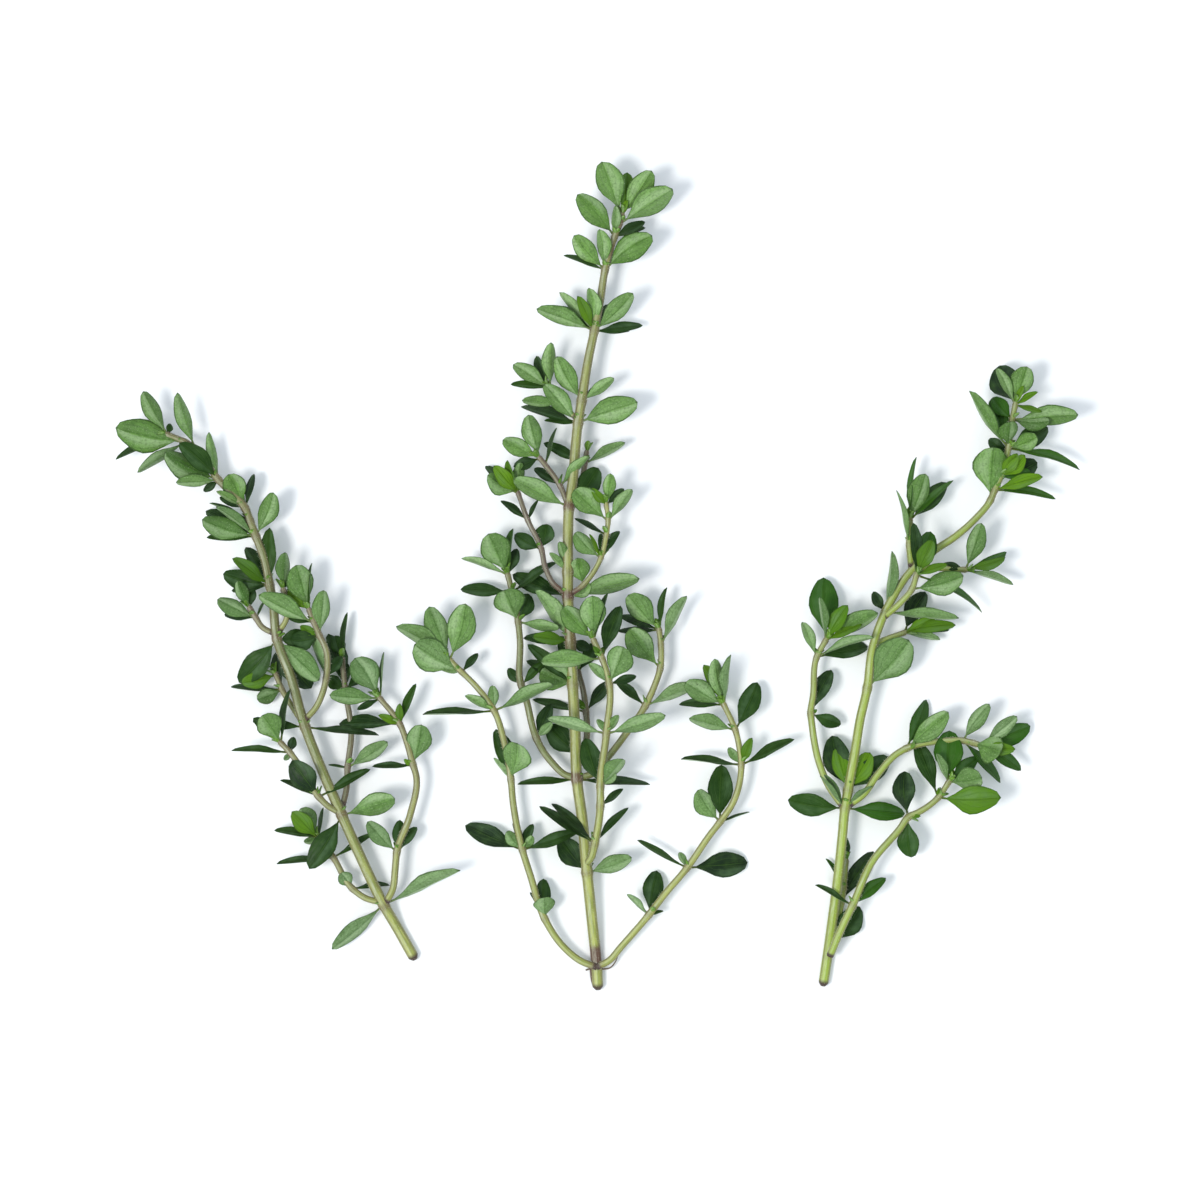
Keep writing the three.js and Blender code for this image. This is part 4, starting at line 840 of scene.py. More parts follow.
class Paint(Bench):
    """A material's node tree with one Principled surface."""

    def __init__(self, name: str, constants: Mapping[str, object]) -> None:
        """Starts the material.

        Args:
            name: Its name.
            constants: What stays the same all over the surface, set on the shader's own sockets.
        """
        self.material = bpy.data.materials.new(name)
        self.material.use_nodes = True
        super().__init__(self.material.node_tree)
        self.surface = next(n for n in self.tree.nodes if n.type == "BSDF_PRINCIPLED")
        for socket, value in constants.items():
            self.surface.inputs[socket].default_value = value

    def vector(self, name: str) -> Term:
        """Reads a named attribute as a vector."""
        return self.node("ShaderNodeAttribute", {"attribute_name": name}).output("Vector")

    def number(self, name: str) -> Term:
        """Reads a named attribute as a number."""
        return self.node("ShaderNodeAttribute", {"attribute_name": name}).output("Fac")

    def own_place(self) -> Term:
        """Gives the place on the piece."""
        return self.node("ShaderNodeTexCoord", {}).output("Object")

    def noise(self, place: Term, scale: float, detail: float = 2.0) -> Term:
        """Gives a soft noise from 0 to 1.

        Args:
            place: Where it is read.
            scale: How fine it is.
            detail: How many finer layers it has.

        Returns:
            The noise.
        """
        return self.node("ShaderNodeTexNoise", {}, {"Vector": place, "Scale": scale, "Detail": detail})

    def layers(self, colour: "Term | Colour", *over: tuple["Operand", "Term | Colour"]) -> Term:
        """Lays colours over a first one.

        Args:
            colour: The first colour.
            over: How much of each next one shows, 0 to 1, and its colour.

        Returns:
            The mixed colour.
        """
        for share, layer in over:
            colour = self.node("ShaderNodeMix", {"data_type": "RGBA", "clamp_factor": True},
                               {"Factor": share, "A": colour, "B": layer})
        return colour

    def finish(self, colour: Term, height: "Term | None" = None, distance: float = 0.0,
               strength: float = 1.0, roughness: "Term | None" = None) -> bpy.types.Material:
        """Links what varies to the surface.

        Args:
            colour: The base colour.
            height: The relief's height, 0 to 1, where it has one.
            distance: What a height of 1 measures.
            strength: How much of the relief shows.
            roughness: The roughness, where it varies.

        Returns:
            The material.
        """
        normal = None if height is None else self.node(
            "ShaderNodeBump", {}, {"Height": height, "Distance": distance, "Strength": strength})
        for name, term in (("Base Color", colour), ("Roughness", roughness), ("Normal", normal)):
            if term is not None:
                self.tree.links.new(term.socket, self.surface.inputs[name])
        return self.material


class LeafPaint(Paint):
    """What both sides of a leaf have in common: where its ribs, veins, rim and glands lie."""

    RELIEF, RELIEF_STRENGTH, ROUGH_MOTTLE = 0.12 * MM, 0.9, 0.12
    OWN_PACE, OWN_TOO_PACE = 0.377, 0.739       # of the two shares that differ from leaf to leaf
    MOTTLE, GRAIN, GLANDS = 650.0, 2600.0, 3000.0       # how many of them lie on a metre
    # Bands, as shares of the half width from the rib or of the length from the base.
    RIB, RIM, TIP_RIM, BASE = (0.01, 0.07), (0.86, 0.95), (0.955, 0.99), (0.03, 0.2)
    # BESIDE_RIB and OUTER are the bands where the painted sheen lies.
    BESIDE_RIB = ((0.04, 0.2), (0.3, 0.85))
    OUTER, OUTER_LENGTH = ((0.2, 0.55), (0.85, 0.95)), (0.3, 0.6)
    VEINED = ((0.08, 0.18), (0.8, 0.95))
    VEINS, VEIN_SLANT, VEIN_WANDER, VEIN_WIDTH = 3.0, 1.8, 0.5, 0.16
    HALVES, DIMMEST = 0.05, 0.2     # how soft the border of the lit half is, and the light on the other one
    GLAND = (0.12, 0.3)             # its size, as a share of its own cell
    # how dark the painted shade gets on the unlit half and towards the base
    PAINTED_SHADE_STRENGTH = 0.35

    def __init__(self, name: str, constants: Mapping[str, object]) -> None:
        """Starts the material and draws its masks.

        Args:
            name: Its name.
            constants: What stays the same all over the surface.
        """
        super().__init__(name, constants)
        place, number = self.own_place(), self.number("number")
        share, side, _ = self.vector("blade").parts()
        width = abs(side)
        self.own, self.own_too = ((number * pace).fraction() for pace in (self.OWN_PACE, self.OWN_TOO_PACE))
        self.youth, self.age, self.tone = (self.number(name) for name in ("youth", "age", "tone"))
        self.mottle, self.grain = self.noise(place, self.MOTTLE, 3.0), self.noise(place, self.GRAIN, 2.0)
        self.rib = 1.0 - width.step(*self.RIB)
        self.beside_rib = width.band(*self.BESIDE_RIB)
        self.outer = width.band(*self.OUTER) * share.step(*self.OUTER_LENGTH)
        # One half of each leaf, picked by its number, is painted as lit; the other half and the base get
        # painted shade.
        half = (side * (self.own - 0.5).sign()).step(-self.HALVES, self.HALVES)
        self.lit_half = half * (1.0 - self.DIMMEST) + self.DIMMEST
        self.painted_shade = (1.0 - self.lit_half) * self.PAINTED_SHADE_STRENGTH + (1.0 - share.step(0.0, 0.5)) * self.PAINTED_SHADE_STRENGTH
        slanted = width * self.VEINS - share * self.VEIN_SLANT + self.mottle * self.VEIN_WANDER
        off_vein = abs((slanted + 10.0).fraction() - 0.5)       # 10 keeps the value above 0
        self.vein = (1.0 - off_vein.step(0.0, self.VEIN_WIDTH)) * width.band(*self.VEINED)
        self.rim = width.step(*self.RIM).at_least(share.step(*self.TIP_RIM))
        spot = self.node("ShaderNodeTexVoronoi", {"feature": "F1"}, {"Vector": place, "Scale": self.GLANDS})
        self.gland = 1.0 - spot.step(*self.GLAND)
        self.base = 1.0 - share.step(*self.BASE)

    def painted_sheen_mask(self, share: Term) -> Term:
        """Draws the pale bloom, beside the rib where the share is 1 and out near the rim where it is 0."""
        return (self.beside_rib * share + self.outer * (1.0 - share)) * self.lit_half

    def finish_leaf(self, roughness: float, colour: Colour,
                    *over: tuple["Operand", "Term | Colour"]) -> bpy.types.Material:
        """Links the leaf's colours with its roughness and relief.

        Args:
            roughness: The roughness where the leaf is smoothest.
            colour: The first colour.
            over: What is laid over it.

        Returns:
            The material.
        """
        relief = (self.rib * 0.7 - self.vein * 0.4 + self.gland * 0.15 + self.mottle * 0.8
                  + self.grain * 0.35)
        return self.finish(self.layers(colour, *over), relief, self.RELIEF, self.RELIEF_STRENGTH,
                           self.mottle * self.ROUGH_MOTTLE + roughness)


@dataclass(frozen=True)
class UpperFinish:
    """A thyme leaf's upper side: deep green, smooth and a little glossy."""

    green: Colour = srgb(28, 58, 8)
    blue: Colour = srgb(18, 35, 18)
    vivid: Colour = srgb(42, 86, 8)
    young: Colour = srgb(106, 150, 18)
    vein: Colour = srgb(66, 98, 38)
    # colour of the painted sheen
    painted_sheen: Colour = srgb(110, 140, 104)
    rim: Colour = srgb(30, 52, 16)
    petiole: Colour = srgb(104, 114, 48)
    roughness: float = 0.36

    def make(self) -> bpy.types.Material:
        """Builds the material.

        Returns:
            The material.
        """
        paint = LeafPaint("thyme_leaf_upper", {"Specular IOR Level": 0.12})
        return paint.finish_leaf(
            self.roughness, self.green,
            (paint.own_too, self.blue),
            (paint.number("freshness") * paint.own.step(0.4, 0.9), self.vivid),
            (paint.youth, paint.layers(self.young, (paint.own_too * 0.6, self.vivid))),
            (paint.mottle.step(0.35, 0.75) * 0.25, self.vein),
            (paint.vein * 0.2, self.vein),
            # painted sheen on the lit half
            (paint.painted_sheen_mask(paint.own) * paint.mottle * 0.35, self.painted_sheen),
            (paint.rib * 0.4, self.vein),
            (paint.rim * 0.5, self.rim),
            (paint.base * 0.7, self.petiole))


@dataclass(frozen=True)
class UnderFinish:
    """A thyme leaf's under side: paler, dotted with glands, with a bloom on one half."""

    pale: Colour = srgb(112, 154, 72)
    green: Colour = srgb(88, 130, 48)
    deep: Colour = srgb(56, 94, 34)
    grey: Colour = srgb(112, 140, 94)
    young: Colour = srgb(112, 160, 14)
    vein: Colour = srgb(52, 84, 24)
    # whitish colour of the painted sheen, which the gland dots share
    painted_sheen: Colour = srgb(176, 200, 152)
    rim: Colour = srgb(36, 62, 14)
    petiole: Colour = srgb(128, 138, 64)
    roughness: float = 0.42

    def make(self) -> bpy.types.Material:
        """Builds the material.

        Returns:
            The material.
        """
        paint = LeafPaint("thyme_leaf_under", {"Specular IOR Level": 0.25, "Sheen Weight": 0.15,
                                               "Sheen Roughness": 0.4, "Sheen Tint": (0.95, 1.0, 0.9, 1.0)})
        return paint.finish_leaf(
            self.roughness, self.pale,
            (paint.tone * 2.0, self.green),
            (paint.tone * 2.0 - 1.0, self.deep),
            ((paint.own_too * 0.4 + paint.age * 0.7 - 0.3).at_least(0.0), self.grey),
            (paint.youth, self.young),
            # painted sheen on leaves seen on their side
            (paint.number("turn") * (0.05 + 0.45 * paint.own), self.painted_sheen),
            (paint.mottle.step(0.35, 0.7) * 0.4, self.vein),
            (paint.vein * 0.3, self.vein),
            # painted sheen on the lit half
            (paint.painted_sheen_mask(paint.own_too) * (0.15 + 0.5 * paint.mottle), self.painted_sheen),
            (paint.rib * 0.3, self.vein),
            # painted shade on the unlit half and towards the base, in the vein colour
            (paint.painted_shade * 0.6, self.vein),
            (paint.rim * 0.75, self.rim),
            # the glands' own pale dots, in the painted sheen's colour
            (paint.gland * 0.3, self.painted_sheen),
            (paint.grain.step(0.45, 0.75) * 0.45, self.vein),
            (paint.base * 0.7, self.petiole))


@dataclass(frozen=True)
class StalkFinish:
    """Thyme stem: pale green flats between browner corners, purple brown at the tip and the joints."""

    flat: Colour = srgb(164, 169, 86)
    flat_deep: Colour = srgb(126, 134, 54)
    olive: Colour = srgb(86, 102, 36)
    fresh: Colour = srgb(142, 170, 48)
    corner: Colour = srgb(108, 98, 56)
    brown: Colour = srgb(106, 90, 72)
    brown_deep: Colour = srgb(64, 50, 40)
    knot: Colour = srgb(92, 68, 54)
    # colour of the painted highlight along the stem's top
    painted_sheen: Colour = srgb(222, 228, 200)
    bark: Colour = srgb(88, 62, 44)
    cut: Colour = srgb(60, 42, 28)
    roughness: float = 0.48
    relief: float = 0.12 * MM
    stretch: float = 120.0          # of the streaks, for each metre along the stem
    streak_scale: float = 2.4
    fine_scale: float = 9.0
    cut_band: tuple[float, float] = (0.4 * MM, 1.0 * MM)        # along the stem, where the cut's brown ends

    def make(self) -> bpy.types.Material:
        """Builds the material.

        Returns:
            The material.
        """
        paint = Paint("thyme_stem", {"Roughness": self.roughness, "Specular IOR Level": 0.5,
                                     "Sheen Weight": 0.25, "Sheen Roughness": 0.35})
        along, browning, knot = paint.vector("stalk").parts()
        bark, shade, fresh = paint.vector("skin").parts()
        side, over, _ = paint.vector("around").parts()
        run = paint.xyz(side, over, along * self.stretch)
        streak, fine = paint.noise(run, self.streak_scale, 3.0), paint.noise(run, self.fine_scale, 2.0)
        corner = (abs(side * over) * 2.0).step(0.7, 1.0)
        # lit marks where the painted highlight lies
        lit = (over * -0.95 - side * 0.3).step(0.86, 1.0)       # the top, where "around" has its lowest Y
        purple = paint.layers(self.brown, (fine.step(0.3, 0.7), self.brown_deep))
        colour = paint.layers(
            self.flat,
            (streak.step(0.35, 0.65), self.flat_deep),
            (shade, self.olive),
            (fresh * 0.7, self.fresh),
            (corner * (0.35 + 0.5 * fine), self.corner),
            # browner on the stem's two sides as seen from above, in the corners' colour
            (abs(side).step(0.7, 1.0) * 0.6, self.corner),
            ((browning + (streak - 0.5) * 1.2 * browning).at_most(1.0), purple),
            (knot * 0.35, self.knot),
            (bark * (bark * 1.4 - streak + 0.35).at_most(1.0).at_least(0.0), self.bark),
            # painted highlight along the lit top
            (lit * (streak.step(0.4, 0.75) * 0.3 + fine.step(0.35, 0.65) * 0.2), self.painted_sheen),
            (1.0 - along.step(*self.cut_band), self.cut))
        return paint.finish(colour, corner * 0.4 + streak * 0.6 + fine * 0.4, self.relief)


@dataclass(frozen=True)
class DownFinish:
    """Short whitish hairs."""

    light: Colour = srgb(214, 218, 200)
    dull: Colour = srgb(186, 188, 160)
    grain: float = 900.0
    roughness: float = 0.6

    def make(self) -> bpy.types.Material:
        """Builds the material.

        Returns:
            The material.
        """
        paint = Paint("thyme_down", {"Roughness": self.roughness, "Specular IOR Level": 0.4})
        grain = paint.noise(paint.own_place(), self.grain)
        return paint.finish(paint.layers(self.light, (grain, self.dull)))


@dataclass(frozen=True)
class Finishes:
    """The four materials of a sprig."""

    upper: bpy.types.Material
    under: bpy.types.Material
    skin: bpy.types.Material
    down: bpy.types.Material


# ---- The shoots ----


@dataclass(frozen=True)
class Blade:
    """A leaf ready to be grown, in millimetres."""

    root: Vector
    tip: Vector
    facing: Vector
    half: float
    habit: Habit
    number: int
    bend: Vector = field(default_factory=Vector)    # sideways bow of the midrib, as a share of the length
    age: float = 0.0
    # turn also sets how strong the painted sheen is on the under side
    turn: float = 0.0       # 0 for a leaf seen flat, towards 1 for one seen on its side

    ARCH = 0.07             # of the midrib, as a share of the length
    SPREADS = {"belly": (1.7, 0.08), "arch": (0.9, 0.03), "fold": (2.9, 0.35), "curl": (3.7, 0.03),
               "twist": (1.3, 0.3)}         # how fast each differs from leaf to leaf, and how far

    def _spread(self, name: str) -> float:
        """Gives how far one of the leaf's measures is off the usual."""
        pace, reach = self.SPREADS[name]
        return even_spread(self.number * pace, reach)

    def shaping(self) -> dict[str, float | Vector]:
        """Gives what the recipe for blades reads, which is taken off again once the leaf is shaped.

        Returns:
            Each value by its attribute's name.
        """
        span, flat, habit = self.tip - self.root, abs(self.facing.z), self.habit
        return {"root": self.root * MM, "outwards": span.normalized(), "facing": self.facing,
                "bend": self.bend, "length": span.length * MM, "half": self.half * MM,
                "belly": habit.belly + self._spread("belly"), "twist": self._spread("twist"),
                "fold": habit.fold * (1 + self._spread("fold")),
                "arch": (self.ARCH + self._spread("arch")) * flat,
                "curl": (habit.curl + self._spread("curl")) * flat}


@dataclass(frozen=True)
class Path:
    """A stem's smooth run, in millimetres."""

    places: list[Vector]
    along: list[float]
    joint_along: list[float]


def tangents(places: Sequence[Vector]) -> list[Vector]:
    """Gives the direction of a smooth curve at each of its points, by the lengths on both sides.

    Args:
        places: The points.

    Returns:
        A direction for each.
    """
    steps = [b - a for a, b in zip(places, places[1:])]
    inner = []
    for before, after in zip(steps, steps[1:]):
        near, far = before.length, after.length
        inner.append((after / far * near + before / near * far) / (near + far))
    return [steps[0].normalized(), *inner, steps[-1].normalized()]


def smooth_path(places: Sequence[Vector], spacing: float) -> Path:
    """Draws a smooth curve through points.

    Args:
        places: The points that it passes.
        spacing: How far apart its own points lie.

    Returns:
        The path, with how far along it each of the given points lies.
    """
    slopes = tangents(places)
    run, joint_at = [places[0].copy()], [0]
    for start, end, leave, arrive in zip(places, places[1:], slopes, slopes[1:]):
        span = (end - start).length
        count = max(2, round(span / spacing))
        for step in range(1, count + 1):
            t = step / count
            run.append(start * (2 * t**3 - 3 * t**2 + 1) + leave * (span * (t**3 - 2 * t**2 + t))
                       + end * (3 * t**2 - 2 * t**3) + arrive * (span * (t**3 - t**2)))
        joint_at.append(len(run) - 1)
    along = [0.0]
    for a, b in zip(run, run[1:]):
        along.append(along[-1] + (b - a).length)
    return Path(run, along, [along[i] for i in joint_at])


def write_attribute(mesh: bpy.types.Mesh, name: str, values: Sequence[float | Vector]) -> None:
    """Writes numbers or vectors on a mesh's points.

    Args:
        mesh: The mesh.
        name: The attribute's name.
        values: One for each point.
    """
    table = np.array([tuple(v) if isinstance(v, Vector) else v for v in values], np.float32)
    kind, key = ("FLOAT", "value") if table.ndim == 1 else ("FLOAT_VECTOR", "vector")
    mesh.attributes.new(name, kind, "POINT").data.foreach_set(key, table.ravel())


@dataclass
class LeafyShoot:
    """One leafy stem: a hairy stem, its leaf pairs, the small buds beside them and the bud at its tip."""

    plan: ShootPlan
    first_number: int
    look: StemLook
    age_from: float                 # height in the plan where leaves count as oldest
    age_to: float
    seed: int
    tone: float                     # of the under sides, 0 for pale, 1 for deep green
    freshness: float                # of the stem's green
    tone_spread: float = 0.3
    spacing: float = 0.45
    bud_reach: float = 1.1          # how far the stem goes on past its last joint
    bud_width: float = 0.3          # of the stem's end, as a share of the stem's
    swelling: float = 0.16          # of the stem at a joint, as a share of its radius
    swelling_length: float = 0.55
    fullness: float = 1.07
    cut_width: float = 0.62         # of the cut end, as a share of the stem's
    cut_length: float = 1.1
    stem_sides: int = 12
    stations: int = 9
    leaf_thickness: float = 0.16 * MM   # half of it
    petiole: float = 0.2 * MM       # half its width
    hairs: float = 4.0e6            # for each square metre
    turned_share: float = 0.35      # of what a leaf looks too narrow by, how much its turn explains
    roll_spread: float = 0.22
    width_spread: float = 0.04
    lowest_tip: float = 0.45
    tip_leaves: int = 4             # in the bud at the tip, each shorter and steeper than the last
    tip_leaf: float = 2.3
    tip_shortening: float = 0.25
    tip_onwards: float = 0.92
    tip_lean: float = 0.45
    tip_steepening: float = 0.07
    tip_rise: float = 0.12
    tip_half_width: float = 0.22    # as a share of the length
    budding: float = 5.2            # leaves that reach further than this may have buds beside them
    bud_share: float = 0.1          # of an even spread from -1 to 1, up to where they do
    bud_turns: tuple[float, float] = (-0.5, 0.55)
    bud_away: float = 0.7
    bud_onwards: float = 0.75
    bud_rise: float = 1.5
    bud_leaf: float = 1.7
    bud_spread: float = 0.4
    bud_half_width: float = 0.24    # as a share of the length

    TIP_NUMBERS, BUD_NUMBERS = 1000, 2000       # where the numbers of the small leaves start

    def blades(self) -> Iterator[Blade]:
        """Works out each leaf of the plan.

        Returns:
            The leaves, ready to be grown.
        """
        number = self.first_number
        for index, joint in enumerate(self.plan.joints):
            along = self.plan.direction(index)
            for leaf in joint.leaves:
                yield self._grown(leaf, joint.place, along, number)
                number += 1

    def _grown(self, leaf: Leaf, node: Vector, along: Vector, number: int) -> Blade:
        """Works out one leaf of the plan.

        Args:
            leaf: The leaf.
            node: Where it grows.
            along: The stem's direction there.
            number: Its number in the whole bundle.

        Returns:
            The leaf, ready to be grown.
        """
        habit = leaf.stance.value
        rise = habit.rise * leaf.reach if leaf.up is None else leaf.up
        tip = node + Vector((leaf.across, leaf.along, rise))
        if leaf.up is None:
            tip.z = max(tip.z, self.lowest_tip)
        outwards = (tip - node).normalized()
        turned = leaf.wide + self.turned_share * max(0.0, habit.slimness - leaf.wide)
        seen = min(1.0, leaf.wide / turned)
        off = square_part(UP, outwards).normalized()
        side = outwards.cross(off)
        facing = off * math.copysign(seen, habit.upwards) \
            + side * math.copysign(math.sqrt(1 - seen * seen), side.dot(along))
        facing.rotate(Quaternion(outwards, even_spread(number, self.roll_spread)))
        half = 0.5 * (turned * leaf.reach) * (1 + even_spread(number + 0.5, self.width_spread))
        age = clamped((self.age_to - node.y) / (self.age_to - self.age_from))
        return Blade(node, tip, facing, half, habit, number, square_part(along, outwards) * leaf.bow, age,
                     clamped(1 - leaf.wide / habit.slimness))

    def tip_bud(self) -> Iterator[Blade]:
        """Works out the folded young leaves at the shoot's tip.

        Returns:
            The leaves, ready to be grown.
        """
        end = self.plan.joints[-1].place
        axis = self.plan.direction(len(self.plan.joints) - 1)
        side = axis.cross(UP).normalized()
        for step in range(self.tip_leaves):
            away = side.copy()
            away.rotate(Quaternion(axis, step * math.pi / 2 + self.seed))
            length = self.tip_leaf - self.tip_shortening * step
            lean = self.tip_lean - self.tip_steepening * step
            outwards = (axis * self.tip_onwards + away * lean + UP * self.tip_rise).normalized()
            yield Blade(end, end + outwards * length, square_part(-away, outwards).normalized(),
                        self.tip_half_width * length, Stance.BUD.value,
                        self.first_number + self.TIP_NUMBERS + step)

    def side_buds(self) -> Iterator[Blade]:
        """Works out the pairs of tiny leaves between a grown leaf and the stem.

        Returns:
            The leaves, ready to be grown.
        """
        for index, joint in enumerate(self.plan.joints):
            along = self.plan.direction(index)
            for order, leaf in enumerate(joint.leaves):
                chance = even_spread(self.seed * 7 + index * 3 + order, 1.0)
                if leaf.reach <= self.budding or chance > self.bud_share:
                    continue
                away = Vector((leaf.across, leaf.along, self.bud_rise)).normalized()
                for turn in self.bud_turns:
                    outwards = (away * self.bud_away + along * self.bud_onwards).normalized()
                    outwards.rotate(Quaternion(away.cross(along).cross(along).normalized(), turn))
                    length = self.bud_leaf + even_spread(index + order + turn, self.bud_spread)
                    yield Blade(joint.place, joint.place + outwards * length,
                                square_part(along, outwards).normalized(), self.bud_half_width * length,
                                Stance.BUD.value, self.first_number + self.BUD_NUMBERS + index + order)

    def leaf_mesh(self, recipe: BladeRecipe, finishes: Finishes) -> bpy.types.Mesh:
        """Grows all the leaves.

        Args:
            recipe: The tree that shapes them.
            finishes: The materials.

        Returns:
            The leaves as one mesh.
        """
        leaves = [*self.blades(), *self.tip_bud(), *self.side_buds()]
        shaping = [leaf.shaping() for leaf in leaves]
        looks = [{"number": float(leaf.number), "youth": leaf.habit.youth, "age": leaf.age,
                  "tone": clamped(self.tone + even_spread(leaf.number * 2.3, self.tone_spread)),
                  "freshness": self.freshness, "turn": leaf.turn} for leaf in leaves]
        mesh = bpy.data.meshes.new("leaf roots")
        mesh.from_pydata([row["root"] for row in shaping], [], [])
        for rows in (shaping, looks):
            for name in rows[0]:
                write_attribute(mesh, name, [row[name] for row in rows])
        grown = recipe.apply(mesh, stations=self.stations, thickness=self.leaf_thickness,
                             petiole=self.petiole, upper=finishes.upper, under=finishes.under)
        for name in shaping[0]:
            grown.attributes.remove(grown.attributes[name])
        return grown

    def stem_mesh(self, recipe: StalkRecipe, finishes: Finishes) -> bpy.types.Mesh:
        """Grows the stem with its hairs.

        Args:
            recipe: The tree that makes it.
            finishes: The materials.

        Returns:
            The stem as one mesh.
        """
        plan, look = self.plan, self.look
        places = [joint.place for joint in plan.joints]
        places.append(places[-1] + plan.direction(len(places) - 1) * self.bud_reach)
        path = smooth_path(places, self.spacing)
        knots = [at for at, joint in zip(path.joint_along, plan.joints) if joint.leaves]
        whole = path.along[-1]
        run, radii, stalk, skin = [], [], [], []
        for at, place in zip(path.along, path.places):
            share = at / whole
            knot = max((math.exp(-((at - k) / self.swelling_length) ** 2) for k in knots), default=0.0)
            ending = min(1.0, self.bud_width + (whole - at) / self.bud_reach * (1 - self.bud_width))
            radius = plan.base_radius + (plan.tip_radius - plan.base_radius) * share**look.taper_late
            radius *= self.fullness
            radius *= (1 + self.swelling * knot) * ending
            if plan.name.endswith("main_stem"):
                radius *= min(1.0, self.cut_width + at / self.cut_length)
            brown = look.browning[0] + (look.browning[1] - look.browning[0]) * share
            height = place.y + PLAN_CENTRE.y
            bark = max((mark.strength * clamped(0.5 + mark.reach - abs(height - mark.height))
                        for mark in look.marks), default=0.0)
            run.append(Vector((place.x, place.y, max(place.z, radius))))
            radii.append(radius)
            stalk.append(Vector((at * MM, brown, knot)))
            skin.append(Vector((bark, float(np.interp(share, (0, 0.5, 1), look.depth)), self.freshness)))
        return recipe.grow(finishes, run, radii, stalk, skin, sides=self.stem_sides, density=self.hairs,
                           seed=self.seed)


def fibre_mesh(fibre: Fibre, recipe: StalkRecipe, finishes: Finishes) -> bpy.types.Mesh:
    """Makes a withered strand.

    Args:
        fibre: The strand.
        recipe: The tree that makes stems.
        finishes: The materials.

    Returns:
        The strand as one mesh.
    """
    path = smooth_path([Vector(place) - PLAN_CENTRE for place in fibre.places], fibre.spacing)
    radii = [fibre.radius * (1 - fibre.taper * at / path.along[-1]) for at in path.along]
    brown, barky = [Vector((1.0, 1.0, 0.0))] * len(radii), [Vector((1.0, 0.0, 0.0))] * len(radii)
    return recipe.grow(finishes, path.places, radii, brown, barky, sides=fibre.sides, density=0.0, seed=1)


def merged(name: str, meshes: Sequence[bpy.types.Mesh]) -> bpy.types.Object:
    """Joins meshes into one object.

    Args:
        name: The object's name.
        meshes: The meshes, each with its own materials.

    Returns:
        The object, at the origin.
    """
    made = [placed(name, mesh) for mesh in meshes]
    with bpy.context.temp_override(active_object=made[0], object=made[0], selected_editable_objects=made,
                                   selected_objects=made):
        bpy.ops.object.join()
    made[0].name = made[0].data.name = name
    return made[0]


@dataclass
class Thicket:
    """All leafy stems of one sprig, each a piece that stands for its node of the packed model."""

    sprig: str
    tone: float
    freshness: float
    looks: Mapping[str, StemLook]           # by what follows the sprig in the stem's name
    usual_look: StemLook = StemLook((0.05, 0.7))
    fibres: tuple[Fibre, ...] = ()          # on the main stem

    def grow(self, numbers: Mapping[str, int], blade: BladeRecipe, stalk: StalkRecipe,
             finishes: Finishes) -> None:
        """Grows each leafy stem and fastens it to the frame.

        Args:
            numbers: The first leaf number of each shoot.
            blade: The tree for leaves.
            stalk: The tree for stems.
            finishes: The materials.
        """
        plans = [plan for plan in SHOOTS if plan.name.startswith(self.sprig + "_")]
        heights = [joint.place.y for plan in plans for joint in plan.joints]
        for order, plan in enumerate(plans):
            look = self.looks.get(plan.name.removeprefix(self.sprig + "_"), self.usual_look)
            grown = LeafyShoot(plan, numbers[plan.name], look, min(heights), max(heights), order + 1,
                               self.tone, self.freshness)
            fibres = self.fibres if plan.name.endswith("main_stem") else ()
            piece = merged("grown_" + plan.name,
                           [grown.stem_mesh(stalk, finishes), grown.leaf_mesh(blade, finishes),
                            *(fibre_mesh(fibre, stalk, finishes) for fibre in fibres)])
            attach(piece, "root")
            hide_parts(plan.name)
            LOG.info("%s: %d faces", piece.name, len(piece.data.polygons))


# ---- The studio ----


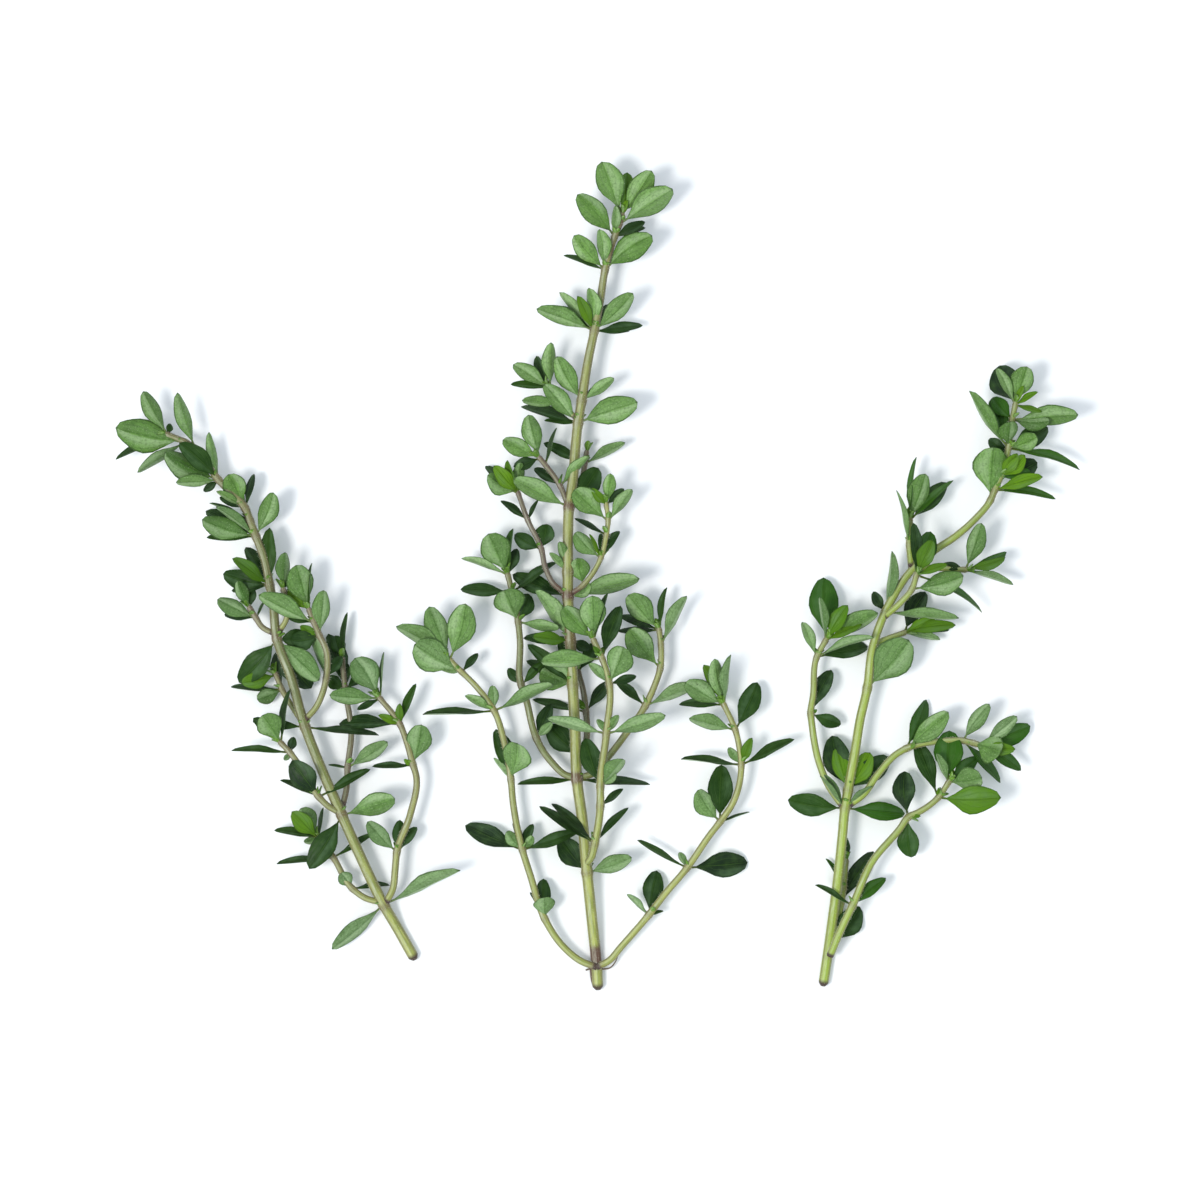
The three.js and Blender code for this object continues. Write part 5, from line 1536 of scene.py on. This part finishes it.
@dataclass(frozen=True)
class Studio:
    """A white table, one soft lamp from the left, an even sky and a camera straight above."""

    view_width: float = 0.2
    view_centre: Vector = field(default_factory=lambda: Vector((0.00035, -0.00396, 0.0045)))
    camera_height: float = 0.9
    clip_from: float = 0.01
    clip_to: float = 20.0
    sensor: float = 36.0
    table_half: float = 1.5
    table_grain: float = 40.0
    whites: tuple[Colour, Colour] = (srgb(240, 240, 240), srgb(244, 244, 244))
    lamp_from: Vector = field(default_factory=lambda: Vector((-0.62, -0.24, 1.36)))
    lamp_size: float = 0.42
    lamp_power: float = 13.8
    lamp_colour: tuple[float, float, float] = (1.0, 0.985, 0.96)
    sky: Colour = (0.845, 0.92, 1.0, 1.0)
    sky_strength: float = 1.01

    def build(self) -> None:
        """Builds the table, the lights and the camera."""
        self._table()
        self._lights()
        self._camera()
        bpy.context.scene.view_settings.view_transform = "Standard"

    def _table(self) -> None:
        """Lays the white table top at z = 0."""
        mesh = bpy.data.meshes.new("table_top")
        half = self.table_half
        mesh.from_pydata([(-half, -half, 0), (half, -half, 0), (half, half, 0), (-half, half, 0)], [],
                         [(0, 1, 2, 3)])
        paint = Paint("white_table", {"Roughness": 0.9, "Specular IOR Level": 0.2})
        grain = paint.noise(paint.own_place(), self.table_grain)
        mesh.materials.append(paint.finish(paint.layers(self.whites[0], (grain, self.whites[1]))))
        placed("table_top", mesh)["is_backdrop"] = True

    def _lights(self) -> None:
        """Sets the sky and the lamp."""
        world = bpy.data.worlds.new("sky")
        world.use_nodes = True
        background = world.node_tree.nodes["Background"]
        background.inputs["Color"].default_value = self.sky
        background.inputs["Strength"].default_value = self.sky_strength
        bpy.context.scene.world = world
        lamp = bpy.data.lights.new("soft_lamp", "AREA")
        lamp.shape, lamp.size = "DISK", self.lamp_size
        lamp.energy, lamp.color = self.lamp_power, self.lamp_colour
        holder = placed("soft_lamp", lamp)
        holder.location = self.lamp_from
        holder.rotation_euler = (-self.lamp_from).to_track_quat("-Z", "Y").to_euler()

    def _camera(self) -> None:
        """Sets the camera straight above the bundle."""
        camera = bpy.data.cameras.new("camera")
        camera.sensor_width = self.sensor
        camera.lens = self.sensor * (self.camera_height - self.view_centre.z) / self.view_width
        camera.clip_start, camera.clip_end = self.clip_from, self.clip_to
        bpy.context.scene.camera = placed("camera", camera)
        bpy.context.scene.camera.location = (self.view_centre.x, self.view_centre.y, self.camera_height)


SPRIGS = (
    Thicket("middle", 0.25, 0.1, {
        "main_stem": StemLook((0.0, 0.4), 5.0, (0.0, 0.2, 0.4), (
            Mark(-63.4, 2.0), Mark(-49.4, 0.2, 0.7), Mark(-33.4, 1.1, 0.9), Mark(-9.5, 3.5, 0.7),
            Mark(-3.0, 0.9), Mark(11.9, 0.9, 0.9), Mark(54.5, 1.6, 0.7), Mark(59.0, 1.6, 0.7))),
        "low_left_shoot": StemLook((0.0, 0.3), 3.2, (0.1, 0.4, 0.0), (Mark(-65.2, 0.5),)),
        "low_right_shoot": StemLook((0.0, 0.3), 3.2, (0.1, 0.0, 0.0), (Mark(-65.2, 0.5),)),
        "back_shoot": StemLook((0.5, 0.8), depth=(0.8, 1.0, 1.0)),
        "front_shoot": StemLook((0.0, 0.35)),
        "left_second_shoot": StemLook((0.2, 0.4), depth=(0.8, 1.0, 0.7)),
        "right_second_shoot": StemLook((0.2, 0.3), depth=(0.8, 0.2, 0.2)),
        "left_third_shoot": StemLook((1.0, 0.95), 2.0, (1.0, 1.0, 1.0), (Mark(-2.2, 1.0),)),
        "right_third_shoot": StemLook((0.3, 0.1), 2.0, (0.4, 0.0, 0.0), (Mark(-2.5, 0.9),)),
        "left_fourth_shoot": StemLook((0.9, 0.9)),
        "right_fourth_shoot": StemLook((0.9, 0.9)),
    }, fibres=(
        Fibre(0.15, ((1.0, -65.6, 0.9), (2.35, -65.4, 1.1), (3.35, -64.3, 1.3), (3.75, -63.3, 1.5),
                     (4.55, -62.3, 1.9))),
        Fibre(0.25, ((-0.4, -65.4, 0.7), (-1.1, -65.6, 0.7), (-1.65, -65.8, 0.7))),
        Fibre(0.3, ((-0.7, -65.6, 0.7), (-0.62, -67.2, 0.7), (-0.3, -68.7, 0.6))))),
    Thicket("left", 0.6, 0.0, {
        "main_stem": StemLook((0.0, 0.5), 2.5, (0.0, 1.0, 0.4), (
            Mark(-55.0, 0.5, 0.7), Mark(-39.5, 0.5, 0.8), Mark(-9.8, 0.5, 0.8))),
        "brown_shoot": StemLook((0.7, 0.7), depth=(1.0, 0.8, 0.8)),
        "second_shoot": StemLook((0.3, 0.6), depth=(0.4, 0.1, 0.2)),
        "fourth_shoot": StemLook((0.6, 0.8)),
        "third_shoot": StemLook((0.1, 0.8), depth=(0.4, 0.4, 0.4)),
    }),
    Thicket("right", 0.6, 1.0, {
        "main_stem": StemLook((0.0, 0.3), 2.0, (0.0, 0.0, 0.9), (
            Mark(-63.7, 0.2, 0.8), Mark(13.8, 1.0, 0.5))),
    }, StemLook((0.0, 0.45))),
)


def main() -> None:
    """Builds the studio and the three sprigs."""
    logging.basicConfig(level=logging.INFO, format="%(name)s: %(message)s")
    Studio().build()
    numbers, number = {}, 1
    for plan in SHOOTS:
        numbers[plan.name] = number
        number += sum(len(joint.leaves) for joint in plan.joints)
    blade, stalk = BladeRecipe(), StalkRecipe()
    finishes = Finishes(*(kind().make() for kind in (UpperFinish, UnderFinish, StalkFinish, DownFinish)))
    for thicket in SPRIGS:
        thicket.grow(numbers, blade, stalk, finishes)
    for recipe in (blade, stalk):
        bpy.data.node_groups.remove(recipe.tree)
    boxes = {name: [list(corner) for corner in box]
             for name, box in (("cad", CAD_BOX), ("visual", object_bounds()))}
    LOG.info("boxes: %s", boxes)


if __name__ == "__main__":
    main()
